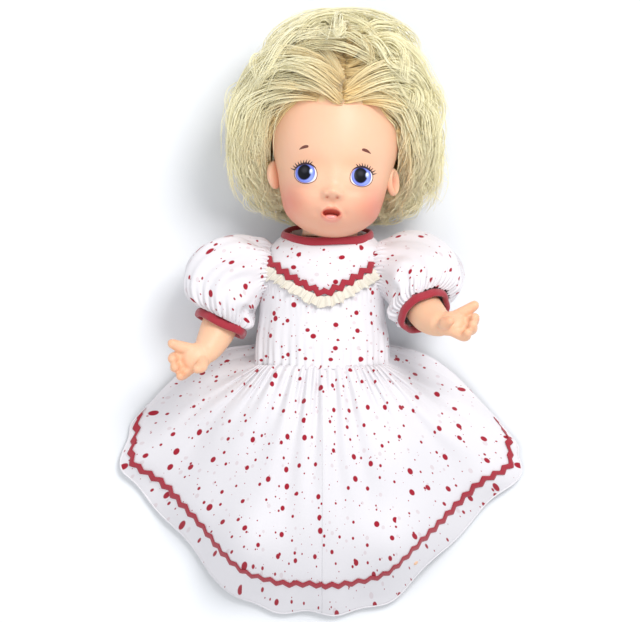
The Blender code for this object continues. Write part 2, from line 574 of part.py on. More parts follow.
# The left arm with its shoulder at the origin and +X outwards: the middle line and the radius at each point.
ARM_LINE = [((0, 0, 0), 12.2), ((5.5, -8, 0), 11.7), ((12.5, -20, -1), 11.5), ((18, -31, -1), 11.7),
            ((22, -41, 2), 11.3), ((25.5, -48.5, 6), 10.0), ((28.5, -54, 10), 9.0)]
PALM = ((34.5, -58.5, 15), (10.5, 9.0, 6.0))
FINGERS = [  # base, knuckle, tip and radius
    ((38, -54, 16), (45, -52, 20), (51.5, -49.5, 24), 3.5),
    ((41, -58, 14), (48.5, -59, 17), (50, -60, 24), 3.5),
    ((40, -62, 14), (47.5, -65, 17), (48.5, -65.5, 24), 3.4),
    ((37, -65, 15), (43.5, -70, 17), (45, -71, 23), 3.2),
    ((31, -62, 19), (31.5, -65, 24), (34, -66.5, 28), 3.6),
]


def scaled(point, side):
    return Vector((side * point[0], point[1], point[2])) * MM


def limb_mesh(line, side, rounds=3, steps=1):
    return tube_mesh([scaled(p, side) for p, _ in line], [r * MM for _, r in line], rounds, steps)


def arm_mesh(side):
    """One arm with its hand, in the frame of its shoulder."""
    root = ball_mesh((SHOULDER_R,) * 3, (0, 0, 0), 18, 10)
    parts = [limb_mesh(ARM_LINE, side)]
    turn = Matrix.Translation(scaled(PALM[0], side)) @ Matrix.Rotation(side * -0.45, 4, "Z") \
        @ Matrix.Rotation(side * -0.35, 4, "Y")
    parts.append(turned_to(ball_mesh([h * MM for h in PALM[1]], (0, 0, 0), 12, 8), turn))
    for base, knuckle, tip, radius in FINGERS:
        parts.append(tube_mesh([scaled(p, side) for p in (base, knuckle, tip)],
                               [radius * MM, radius * MM * 0.97, radius * MM * 0.78], 1, 1))
    socket = rod_mesh(2.9 * MM, (-side * 0.03, 0, 0), (-side * 0.0040, 0, 0), 18)
    flat = box_mesh((0.02, 0.06, 0.06), (-side * (0.0145 + 0.01), 0, 0))
    return cut(join(root, *parts), socket, flat)


LEG_LINE = [((0, 0, 0), 15.2), ((3, -12, 0), 15.8), ((7, -26, 1), 15.6), ((11, -38, 2), 14.0), ((13, -50, 1), 12.8),
            ((13.5, -62, -3), 12.2), ((13.5, -74, -8), 10.6), ((13.5, -84, -12), 9.4)]
FOOT = ((17.5, -93.0, -13.0), (10.5, 10.5, 12.5))


def leg_mesh(side):
    """One leg with its foot, in the frame of its hip. The toes are turned out."""
    root = ball_mesh((HIP_R,) * 3, (0, 0, 0), 18, 10)
    turn = Matrix.Translation(scaled(FOOT[0], side)) @ Matrix.Rotation(side * 0.60, 4, "Y")
    foot = turned_to(ball_mesh([h * MM for h in FOOT[1]], (0, 0, 0), 14, 10), turn)
    socket = rod_mesh(2.9 * MM, (-side * 0.03, 0, 0), (-side * 0.0020, 0, 0), 18)
    inner = box_mesh((0.03, 0.30, 0.30), (-side * (0.0155 + 0.015), 0, 0))
    return cut(join(root, limb_mesh(LEG_LINE, side), foot), socket, inner)


def make_limbs():
    for label, side, lift in (("left", 1, LEFT_ARM_LIFT), ("right", -1, RIGHT_ARM_LIFT)):
        shoulder = empty(f"{label}_shoulder", (side * SHOULDER_X, SHOULDER_Y, SHOULDER_Z), (-lift, 0, 0), BODY)
        add(f"{label}_arm", arm_mesh(side), SKIN, shoulder)
        add(f"{label}_sleeve", sleeve_mesh(side), WHITE_CLOTH, shoulder)
        hip = empty(f"{label}_hip", (side * HIP_X, HIP_Y, HIP_Z), (0, 0, 0), BODY)
        add(f"{label}_leg", leg_mesh(side), SKIN, hip)
        cuff = ring_mesh(16.2 * MM, 16.2 * MM, 2.2 * MM, 20, 6)
        add(f"{label}_cuff", turned_to(cuff, cuff_place(side)), RED_CLOTH, shoulder)


def cuff_place(side):
    """Where the cuff sits on the arm: round the elbow, square to the arm's line."""
    at, along = scaled((20.0, -37.0, 0), side), scaled((5.2, -10.8, 0.6), side)
    return Matrix.Translation(at) @ along.to_track_quat("Z", "Y").to_matrix().to_4x4()


def ring_mesh(half_x, half_y, thick, around=36, section=8, tall=1.0):
    """A band round the Z axis with a round section, tall times higher than it is thick."""
    rows = []
    for i in range(around):
        a = 2 * math.pi * i / around
        rows.append([((half_x + thick * math.cos(b)) * math.cos(a), (half_y + thick * math.cos(b)) * math.sin(a),
                      tall * thick * math.sin(b)) for b in (2 * math.pi * k / section for k in range(section))])
    return closed_ring(rows)


def closed_ring(rows):
    def build(work):
        made = [[work.verts.new(p) for p in row] for row in rows]
        for i, near in enumerate(made):
            far = made[(i + 1) % len(made)]
            for k in range(len(near)):
                j = (k + 1) % len(near)
                work.faces.new((near[k], near[j], far[j], far[k]))
        bmesh.ops.recalc_face_normals(work, faces=work.faces)
    return new_mesh(build, "ring")


# ---------------------------------------------------------------- dress

# Rings of the puffed sleeve, in the frame of the left shoulder: middle, half width, half height and how far the
# ring has turned from facing outwards towards facing down the body, in degrees.
SLEEVE_RINGS = [((-0.5, -2.5), 20.5, 18.0, 0), ((4, -4), 25.0, 21.0, 14), ((11.5, -7), 27.0, 24.0, 28),
                ((18.5, -13), 28.0, 25.0, 45), ((21.5, -21), 27.0, 24.0, 58), ((21, -29), 23.5, 21.0, 65),
                ((19.5, -33.5), 17.4, 17.4, 64)]


def sleeve_mesh(side):
    """A puffed sleeve from the armhole to the cuff, open at both ends."""
    rows = []
    for (x, y), wide, high, turned in SLEEVE_RINGS:
        across = Vector((math.sin(math.radians(turned)), math.cos(math.radians(turned)), 0))
        row = []
        for k in range(24):
            a = 2 * math.pi * k / 24
            spot = (Vector((x, y, 0)) + across * wide * math.cos(a) + Vector((0, 0, high * math.sin(a)))) * MM
            row.append(Vector((side * max(spot.x, -2.4 * MM), spot.y, spot.z)))
        rows.append(row)
    return shelled(grid_mesh(rows, True), CLOTH)


def fan_point(angle, t, top):
    """A point of the skirt's front (top) or back: angle runs from -90 at one side to 90 at the other."""
    side = math.sin(angle)
    reach = SKIRT_RADIUS - 21 * MM * max(0.0, (abs(angle) - math.radians(68)) / math.radians(22)) ** 1.5
    waist = Vector((0.0415 * side, WAIST_Y, 0))
    hem = Vector((reach * side, SKIRT_CENTRE_Y - reach * math.cos(angle), 0))
    flat = waist.lerp(hem, t)
    middle = math.cos(angle)
    if top:
        rise = TORSO_Z + 2 * MM + (0.0320 * middle ** 0.7 if middle > 0 else 0)
        fall = 1 - t ** (0.5 + 1.9 * max(0.0, middle))
        over_feet = 9 * MM * math.exp(-((abs(flat.x) - 0.046) / 0.026) ** 2 - ((flat.y + 0.150) / 0.026) ** 2)
        flat.z = 3.2 * MM + (rise - 3.2 * MM) * fall + over_feet + 7.0 * MM * t * max(0.0, middle)
    return flat


def make_skirt():
    across, down = 24, 9
    angles = [math.radians(-90 + 180 * i / across) for i in range(across + 1)]
    front = [[fan_point(a, k / down, True) for a in angles] for k in range(down + 1)]
    add("skirt_front", shelled(grid_mesh(front, False), CLOTH), WHITE_CLOTH, BODY)
    outline = [fan_point(a, 1.0, False) for a in angles]
    outline = [(p.x, p.y) for p in outline] + [(0.0415, WAIST_Y - 2 * MM), (-0.0415, WAIST_Y - 2 * MM)]
    add("skirt_back", flat_mesh(outline, 1.0 * MM, 0.0), WHITE_CLOTH, BODY)


BODICE_PROFILE = [(28.0, 47.2), (36.5, 42.0), (40.2, 31.0), (40.0, 0.0), (41.9, -33.4)]  # as TORSO_PROFILE


def make_bodice():
    surface = flattened(turned_mesh_open([(r * MM, h * MM) for r, h in BODICE_PROFILE], 24))
    holes = [rod_mesh(0.0176, (side * 0.030, SHOULDER_Y, SHOULDER_Z), (side * 0.08, SHOULDER_Y, SHOULDER_Z), 28)
             for side in (-1, 1)]
    under = box_mesh((0.30, 0.30, 0.10), (0, 0, -0.05))
    room = collar_mesh(2.4 * MM)
    add("dress_bodice", cut(shelled(surface, 1.2 * MM), *holes, under, room), WHITE_CLOTH, BODY)
    add("collar_binding", collar_mesh(1.9 * MM), RED_CLOTH, BODY)
    for index, y in enumerate((0.030, -0.004)):
        z = TORSO_Z - TORSO_FLAT * 0.0402
        add(f"back_snap_{index + 1}", rod_mesh(3.6 * MM, (0, y, z - 2.2 * MM), (0, y, z - 0.5 * MM), 14), STEEL, BODY)


def collar_mesh(thick):
    """The bound neckline: a ring round the neck, lower in front."""
    def leaning(point):
        return Vector((point.x, point.y - 0.10 * (point.z - 0.036), point.z))
    ring = ring_mesh(0.0315, 0.0270, thick, 28, 6)
    turned_to(ring, Matrix.Translation((0.0015, 0.0465, 0.036)) @ Matrix.Rotation(math.radians(90), 4, "X"))
    for vert in ring.vertices:
        vert.co = leaning(vert.co)
    return ring


def front_height(x, y):
    """Height of the bodice's front at a point seen from above."""
    rows = [(r * MM, h * MM) for r, h in BODICE_PROFILE]
    radius = rows[0][0]
    for (r1, h1), (r2, h2) in zip(rows, rows[1:]):
        if h2 <= y <= h1:
            radius = r1 + (r2 - r1) * (h1 - y) / (h1 - h2)
    return TORSO_Z + TORSO_FLAT * math.sqrt(max(0.0, radius ** 2 - x ** 2))


def yoke_y(x):
    return 0.0110 + 0.030 * (abs(x - 0.003) / 0.034) ** 1.8


def make_trim():
    """The ruffle and the zigzag braid on the yoke, and the zigzag braid above the hem."""
    zigs = 26
    path = []
    for i in range(zigs + 1):
        x = -0.031 + 0.066 * i / zigs
        y = yoke_y(x) + 2.5 * MM * (1 if i % 2 else -1)
        path.append((x, y, front_height(x, y) + 2.0 * MM))
    add("yoke_rickrack", poly_tube(path, 1.2 * MM, 0), RED_CLOTH, BODY)
    rows = []
    for i in range(33):
        x = -0.030 + 0.061 * i / 32
        lift = 1.2 * MM * (1 if i % 2 else 0)
        row = []
        for down, up in ((-4.5 * MM, 1.7 * MM), (-9.0 * MM, 2.2 * MM), (-13.5 * MM, 2.4 * MM + lift)):
            y = yoke_y(x) + down
            row.append(Vector((x, y, front_height(x, y) + up)))
        rows.append(row)
    add("yoke_ruffle", shelled(grid_mesh(rows, False), 0.7 * MM), LACE, BODY)

    path = []
    zigs = 60
    for i in range(zigs + 1):
        angle = math.radians(-82 + 164 * i / zigs)
        t = 0.885 + 0.024 * (1 if i % 2 else -1)
        spot = fan_point(angle, t, True)
        path.append((spot.x, spot.y, spot.z + 2.2 * MM))
    add("hem_rickrack", poly_tube(path, 1.3 * MM, 0), RED_CLOTH, BODY)


clear_scene()
PARTS, CUTTERS = collection("feeding_doll"), collection("cutters")
CUTTERS.hide_render = True
BODY = empty("body")
HEAD = empty("head_pivot", NECK, (0, 0, -HEAD_TILT), BODY)
make_head()
make_mechanism()
make_torso()
make_electrics()
make_axles()
make_limbs()
make_skirt()
make_bodice()
make_trim()
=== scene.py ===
import math

import bmesh
import bpy
import numpy as np
from bpy.props import FloatProperty, FloatVectorProperty, IntProperty, PointerProperty
from bpy.types import Operator, Panel, PropertyGroup
from mathutils import Matrix, Vector


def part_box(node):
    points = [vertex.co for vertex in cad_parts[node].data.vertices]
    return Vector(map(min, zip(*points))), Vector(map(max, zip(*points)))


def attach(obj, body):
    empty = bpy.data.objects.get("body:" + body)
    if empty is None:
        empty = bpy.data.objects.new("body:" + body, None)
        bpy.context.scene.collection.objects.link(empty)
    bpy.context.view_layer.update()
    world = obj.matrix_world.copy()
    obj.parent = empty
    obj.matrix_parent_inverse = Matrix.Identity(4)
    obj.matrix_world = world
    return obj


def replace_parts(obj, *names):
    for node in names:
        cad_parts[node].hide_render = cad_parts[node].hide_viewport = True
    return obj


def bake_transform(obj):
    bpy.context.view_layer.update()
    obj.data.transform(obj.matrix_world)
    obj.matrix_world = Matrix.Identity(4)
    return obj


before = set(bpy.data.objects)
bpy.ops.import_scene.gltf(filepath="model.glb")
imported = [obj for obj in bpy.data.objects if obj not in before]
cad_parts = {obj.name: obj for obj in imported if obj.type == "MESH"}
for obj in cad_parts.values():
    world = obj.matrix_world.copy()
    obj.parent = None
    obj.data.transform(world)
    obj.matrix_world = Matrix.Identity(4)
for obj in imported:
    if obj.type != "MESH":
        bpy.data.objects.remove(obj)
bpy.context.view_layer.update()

bl_info = {
    "name": "Feeding doll in a dotted dress",
    "version": (1, 0, 0),
    "blender": (4, 5, 0),
    "location": "3D View > Sidebar > Doll",
    "description": "Builds the skin, painted face, hair, dress and trims of a feeding doll over its frame",
    "category": "Object",
}

MM = 0.001
WALL = 0.5 * MM  # thickness of a cloth and of a coat of paint
LASH_SEED, LOCK_SEED, STRAND_SEED = 11, 5, 21
rng = np.random.default_rng


# ---------------------------------------------------------------- mesh helpers

def filled_mesh(name, points, faces):
    """A mesh of equal-sided faces from arrays."""
    mesh = bpy.data.meshes.new(name)
    points, faces = np.asarray(points, np.float64), np.asarray(faces, np.int32)
    mesh.vertices.add(len(points))
    mesh.vertices.foreach_set("co", points.ravel())
    mesh.loops.add(faces.size)
    mesh.loops.foreach_set("vertex_index", faces.ravel())
    mesh.polygons.add(len(faces))
    mesh.polygons.foreach_set("loop_start", np.arange(0, faces.size, faces.shape[1]))
    mesh.update(calc_edges=True)
    return mesh


def grid_faces(rows, cols, wrap=False):
    """Quads of a grid stored row by row; wrap joins the last column to the first."""
    r, c = np.meshgrid(np.arange(rows - 1), np.arange(cols if wrap else cols - 1), indexing="ij")
    n = (c + 1) % cols
    return np.stack([r * cols + c, r * cols + n, (r + 1) * cols + n, (r + 1) * cols + c], -1).reshape(-1, 4)


def put(name, mesh, material, body=None, smooth=True):
    """The mesh as an object at the origin, in its material and riding on its body."""
    obj = bpy.data.objects.new(name, mesh)
    bpy.context.scene.collection.objects.link(obj)
    mesh.materials.clear()
    mesh.materials.append(material)
    mesh.polygons.foreach_set("use_smooth", np.full(len(mesh.polygons), smooth))
    if body:
        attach(obj, body)
    return obj


def set_uv(mesh, coords):
    """A UV map from one coordinate pair for each vertex."""
    layer = mesh.uv_layers.new(name="UVMap")
    index = np.empty(len(mesh.loops), np.int32)
    mesh.loops.foreach_get("vertex_index", index)
    layer.data.foreach_set("uv", np.asarray(coords, np.float64)[index].ravel())


def set_colour(mesh, name, colours):
    layer = mesh.attributes.new(name, "FLOAT_COLOR", "POINT")
    rgba = np.ones((len(mesh.vertices), 4))
    rgba[:, :3] = colours
    layer.data.foreach_set("color", rgba.ravel())


def closed_shell(mesh, thickness):
    """The sheet given a wall on both sides: its points come first, then the same points again."""
    obj = bpy.data.objects.new("wall", mesh)
    bpy.context.scene.collection.objects.link(obj)
    wall = obj.modifiers.new("wall", "SOLIDIFY")
    wall.thickness, wall.offset = thickness, 0.0
    return applied(obj)


def applied(obj):
    """The object's evaluated mesh. The object is removed."""
    bpy.context.view_layer.update()
    mesh = bpy.data.meshes.new_from_object(obj.evaluated_get(bpy.context.evaluated_depsgraph_get()))
    bpy.data.objects.remove(obj, do_unlink=True)
    return mesh


def turned_out(mesh, weld=0.0):
    """The mesh with its doubles merged and its faces pointing outwards."""
    work = bmesh.new()
    work.from_mesh(mesh)
    if weld:
        bmesh.ops.remove_doubles(work, verts=work.verts, dist=weld)
    bmesh.ops.recalc_face_normals(work, faces=work.faces)
    work.to_mesh(mesh)
    work.free()
    return mesh


def smooth_step(value, low, high):
    t = np.clip((value - low) / (high - low), 0.0, 1.0)
    return t * t * (3 - 2 * t)


def soft_noise(x, y, seed, size=1.0):
    """A smooth random surface from a few crossing waves, about -1 to 1."""
    draw = rng(seed)
    total = np.zeros(np.broadcast(x, y).shape)
    for _ in range(7):
        angle, phase = draw.uniform(0, 2 * math.pi, 2)
        pace = draw.uniform(0.6, 1.9) / size
        total += np.sin((x * math.cos(angle) + y * math.sin(angle)) * pace + phase)
    return total / 3.2


# ---------------------------------------------------------------- material helpers

def new_group(name, inputs, outputs, kind="ShaderNodeTree"):
    """An empty node group with named sockets: (name, type, default)."""
    group = bpy.data.node_groups.new(name, kind)
    for label, socket, default in inputs:
        made = group.interface.new_socket(name=label, in_out="INPUT", socket_type=socket)
        if default is not None:
            made.default_value = default
    for label, socket in outputs:
        group.interface.new_socket(name=label, in_out="OUTPUT", socket_type=socket)
    return group, group.nodes.new("NodeGroupInput"), group.nodes.new("NodeGroupOutput")


def node(tree, kind, links=None, **values):
    """A node with its properties set. links maps an input's name or index to a socket or a value."""
    made = tree.nodes.new(kind)
    for key, value in values.items():
        setattr(made, key, value)
    for key, value in (links or {}).items():
        socket = made.inputs[key]
        if isinstance(value, bpy.types.NodeSocket):
            tree.links.new(value, socket)
        else:
            socket.default_value = value
    return made


def new_material(name, **sockets):
    """A material with one Principled shader: underscores in a socket's name stand for spaces."""
    made = bpy.data.materials.new(name)
    made.use_nodes = True
    shader = made.node_tree.nodes["Principled BSDF"]
    for key, value in sockets.items():
        shader.inputs[key.replace("_", " ")].default_value = value
    return made, made.node_tree, shader


def mix_colour(tree, factor, first, second):
    made = tree.nodes.new("ShaderNodeMix")
    made.data_type = "RGBA"
    for socket, value in ((made.inputs[0], factor), (made.inputs[6], first), (made.inputs[7], second)):
        if isinstance(value, bpy.types.NodeSocket):
            tree.links.new(value, socket)
        else:
            socket.default_value = value
    return made.outputs[2]


def ramp(tree, value, *stops):
    made = tree.nodes.new("ShaderNodeValToRGB")
    while len(made.color_ramp.elements) < len(stops):
        made.color_ramp.elements.new(0.5)
    for element, (place, level) in zip(made.color_ramp.elements, stops):
        element.position = place
        element.color = (level, level, level, 1) if isinstance(level, (int, float)) else (*level, 1)
    tree.links.new(value, made.inputs[0])
    return made.outputs[0]


def bump(tree, height, strength, distance):
    return node(tree, "ShaderNodeBump",
                {"Height": height, "Strength": strength, "Distance": distance}).outputs[0]


# ---------------------------------------------------------------- properties

def colour_property(name, description, default):
    return FloatVectorProperty(name=name, description=description, subtype="COLOR", size=3, min=0, max=1,
                               default=default)


class DollSkin(PropertyGroup):
    base: colour_property("Skin", "Colour of the soft vinyl skin", (0.86, 0.50, 0.33))
    blush: colour_property("Blush", "Colour sprayed on the cheeks", (0.72, 0.19, 0.13))
    lips: colour_property("Lips", "Colour painted on the lips", (0.74, 0.22, 0.14))
    inside: colour_property("Mouth", "Colour inside the mouth", (0.66, 0.13, 0.09))
    iris: colour_property("Iris", "Colour of the painted irises", (0.20, 0.26, 0.78))


class DollHair(PropertyGroup):
    pale: colour_property("Pale strands", "Colour of the lightest strands", (1.0, 0.93, 0.62))
    # Gold serves as painted shade near the scalp and in low locks, and as the random darker tone of some
    # strands.
    gold: colour_property("Gold strands", "Colour of the deeper strands near the scalp", (0.95, 0.66, 0.26))
    locks: IntProperty(name="Locks", description="How many locks the hair falls in", default=430, min=20,
                       max=900)
    strands: IntProperty(name="Strands", description="How many strands each lock has", default=16, min=5,
                         max=80)
    radius: FloatProperty(name="Strand radius", description="Half the thickness of a strand",
                          default=0.23 * MM, min=0, unit="LENGTH")


class DollDress(PropertyGroup):
    cloth: colour_property("Cloth", "Colour of the thin white cloth", (0.74, 0.715, 0.735))
    dots: colour_property("Dots", "Colour of the printed dots and the trims", (0.34, 0.008, 0.024))
    lace: colour_property("Lace", "Colour of the ruffle", (0.74, 0.69, 0.59))
    dot_spacing: FloatProperty(name="Dot spacing", description="Distance between printed dots",
                               default=13 * MM, min=0, unit="LENGTH")
    braid_width: FloatProperty(name="Braid width", description="Width of the zigzag braid",
                               default=5.0 * MM, min=0, unit="LENGTH")
    braid_pitch: FloatProperty(name="Braid pitch", description="Length of one zigzag", default=8.6 * MM,
                               min=0, unit="LENGTH")


# ---------------------------------------------------------------- head

NECK = np.array([0.005, 0.050, 0.041])
TILT = math.radians(3.4)
HEAD_CENTRE = np.array([0.0, 0.0565, 0.0130])
HEAD_HALF = np.array([0.0410, 0.0600, 0.0460])
EYE_X, EYE_Y = 17.4, 36.0  # millimetres in the head's own frame, as are the next ones
EYE_WIDE, EYE_HIGH = 7.0, 6.3
MOUTH_Y = 12.4


def from_head(points):
    """Points in the head's own frame, which starts at the neck, put in the row frame."""
    points = np.asarray(points, np.float64)
    c, s = math.cos(TILT), math.sin(TILT)
    return np.stack([points[..., 0] * c + points[..., 1] * s, -points[..., 0] * s + points[..., 1] * c,
                     points[..., 2]], -1) + NECK


def hill(x, y, x0, y0, wide, high):
    return np.exp(-((x - x0) / wide) ** 2 - ((y - y0) / high) ** 2)


def pair(x, y, x0, y0, wide, high):
    return hill(x, y, x0, y0, wide, high) + hill(x, y, -x0, y0, wide, high)


def mouth_reach(x, y):
    """1 on the edge of the open mouth, less inside it."""
    return np.sqrt((x / 5.7) ** 2 + ((y - MOUTH_Y) / 2.5) ** 2)


def lip_reach(x, y):
    """1 on the outer edge of the lips. The upper lip has a bow and the lower lip is fuller."""
    bow = 0.7 * hill(x, 0, 2.4, 0, 1.6, 1) + 0.7 * hill(x, 0, -2.4, 0, 1.6, 1)
    up = (y - 11.6) / (4.6 + bow)
    down = (11.6 - y) / 4.9
    return np.sqrt((x / 7.0) ** 2 + np.where(y > 11.6, up, down) ** 2)


def relief(x, y):
    """How far the face stands out beyond the plain head, in millimetres, at a place in millimetres."""
    lips, mouth = lip_reach(x, y), mouth_reach(x, y)
    z = 4.6 * hill(x, y, 0, 13, 17, 14) + 7.5 * pair(x, y, 22.5, 18, 14, 15) + 2.6 * hill(x, y, 0, -1, 11, 7)
    z += -2.4 * pair(x, y, 17.0, 42, 12, 7.5) + 1.5 * pair(x, y, EYE_X, EYE_Y - 0.5, 8.2, 7.2)
    z += -1.2 * pair(x, y, EYE_X, EYE_Y - 9.5, 8, 2.6)
    z += (6.4 * hill(x, y, 0, 25.4, 4.9, 4.0) + 2.3 * pair(x, y, 4.7, 23.8, 2.0, 2.3)
          + 1.6 * hill(x, y, 0, 34, 5, 8))
    z += -1.7 * pair(x, y, 3.1, 21.9, 1.0, 0.8) - 1.0 * hill(x, y, 0, 19.2, 1.8, 2.0)
    z += 1.9 * np.exp(-((lips - 0.72) / 0.34) ** 2) * (1 - 0.35 * smooth_step(y, 11, 15))
    z += -1.0 * pair(x, y, 8.4, 12.2, 2.2, 2.4) - 1.5 * hill(x, y, 0, 4.4, 7, 2.4)
    z += -6.0 / (1 + np.exp(np.clip((mouth - 0.90) / 0.045, -40, 40)))
    return z


def squeeze(y):
    """How much wider the head is than the plain one at a height, for the full cheeks."""
    y = y * 1000
    return (1 - 0.085 * np.exp(-((y - 36) / 17) ** 2) + 0.12 * np.exp(-((y - 6) / 10) ** 2)
            + 0.12 * np.exp(-((y + 6) / 6) ** 2))


def face_height(x, y):
    """Height of the face's skin in the head's frame, at places in metres."""
    plain_x = x / squeeze(y)
    inside = 1 - (plain_x / HEAD_HALF[0]) ** 2 - ((y - HEAD_CENTRE[1]) / HEAD_HALF[1]) ** 2
    return HEAD_CENTRE[2] + HEAD_HALF[2] * np.sqrt(np.clip(inside, 0, 1)) + relief(x * 1000, y * 1000) * MM


def skin_point(direction):
    """Where the skin lies from the head's centre, for unit directions."""
    reach = 1 / np.linalg.norm(direction / HEAD_HALF, axis=-1, keepdims=True)
    point = HEAD_CENTRE + direction * reach
    point[..., 0] *= squeeze(point[..., 1])
    front = smooth_step(direction[..., 2], 0.05, 0.45)
    point[..., 2] += relief(point[..., 0] * 1000, point[..., 1] * 1000) * MM * front
    under = np.exp(-(((direction[..., 1] + 0.95) / 0.25) ** 2 + ((direction[..., 2] + 0.25) / 0.35) ** 2))
    point[..., 1] += 3.2 * MM * under
    return point


def hairline(direction):
    """Above 0 where hair is rooted: outside the face, with the ears and the neck left clear."""
    round_face = np.degrees(np.arctan2(direction[..., 0], direction[..., 1]))
    from_front = np.degrees(np.arccos(np.clip(direction[..., 2], -1, 1)))
    return from_front - hair_edge(round_face) - 1.2 * np.sin(round_face * 0.35)


def skin_colours(points, rooted):
    """Sprayed and painted colour of the skin at points in the head's frame, with painted shade in the eye
    sockets and nostrils and a painted shadow under the nose.
    """
    look = bpy.context.scene.doll_skin
    x, y = points[:, 0] * 1000, points[:, 1] * 1000
    colour = np.tile(np.array(look.base), (len(points), 1))

    def spray_and_shade(mask, paint):
        nonlocal colour
        colour = colour * (1 - mask[:, None]) + np.asarray(paint) * mask[:, None]

    front = smooth_step(points[:, 2] * 1000, 10, 30)
    spray_and_shade(0.30 * smooth_step(y, 50, 82) * front, (0.84, 0.50, 0.33))
    spray_and_shade(0.78 * pair(x, y, 29, 17, 13, 13), look.blush)
    spray_and_shade(0.30 * hill(x, y, 0, 8, 16, 12) * front, look.blush)
    # Painted shade: a darker tan in the eye sockets above the eyes, towards the nose.
    spray_and_shade(0.30 * pair(x, y, 14, 43, 11, 5) * front, (0.72, 0.33, 0.17))
    # Painted shade in the nostrils.
    spray_and_shade(0.75 * pair(x, y, 3.1, 22.0, 1.1, 0.9) * front, (0.50, 0.12, 0.07))
    # Painted shadow: a darker band under the nose.
    spray_and_shade(0.30 * hill(x, y, 0, 20.8, 6.5, 1.3) * front, (0.60, 0.20, 0.11))
    lips = smooth_step(lip_reach(x, y), 1.04, 0.88) * front
    spray_and_shade(0.80 * lips, look.lips)
    spray_and_shade(0.60 * lips * smooth_step(y, 10.6, 8.6), (0.88, 0.38, 0.30))
    spray_and_shade(smooth_step(mouth_reach(x, y), 1.05, 0.92) * front, look.inside)
    hair = bpy.context.scene.doll_hair
    spray_and_shade(0.90 * smooth_step(rooted, -1.0, 5.0), 0.45 * np.array(hair.gold) + 0.45 * np.array(hair.pale))
    return colour


def skin_material():
    made, tree, shader = new_material("soft_vinyl_skin", Roughness=0.44, Specular_IOR_Level=0.35,
                                      Subsurface_Weight=0.18,
                                      Subsurface_Radius=(1.0, 0.35, 0.2), Subsurface_Scale=0.004,
                                      Coat_Weight=0.0)
    paint = node(tree, "ShaderNodeVertexColor", layer_name="paint").outputs[0]
    place = node(tree, "ShaderNodeTexCoord").outputs["Object"]
    mottle = node(tree, "ShaderNodeTexNoise", {"Vector": place, "Scale": 60.0, "Detail": 3.0}).outputs["Fac"]
    tree.links.new(mix_colour(tree, ramp(tree, mottle, (0.35, 0.0), (0.8, 0.10)), paint,
                              (0.93, 0.60, 0.45, 1)),
                   shader.inputs["Base Color"])
    grain = node(tree, "ShaderNodeTexNoise", {"Vector": place, "Scale": 1400.0, "Detail": 2.0}).outputs["Fac"]
    tree.links.new(bump(tree, grain, 0.15, 0.0002), shader.inputs["Normal"])
    return made


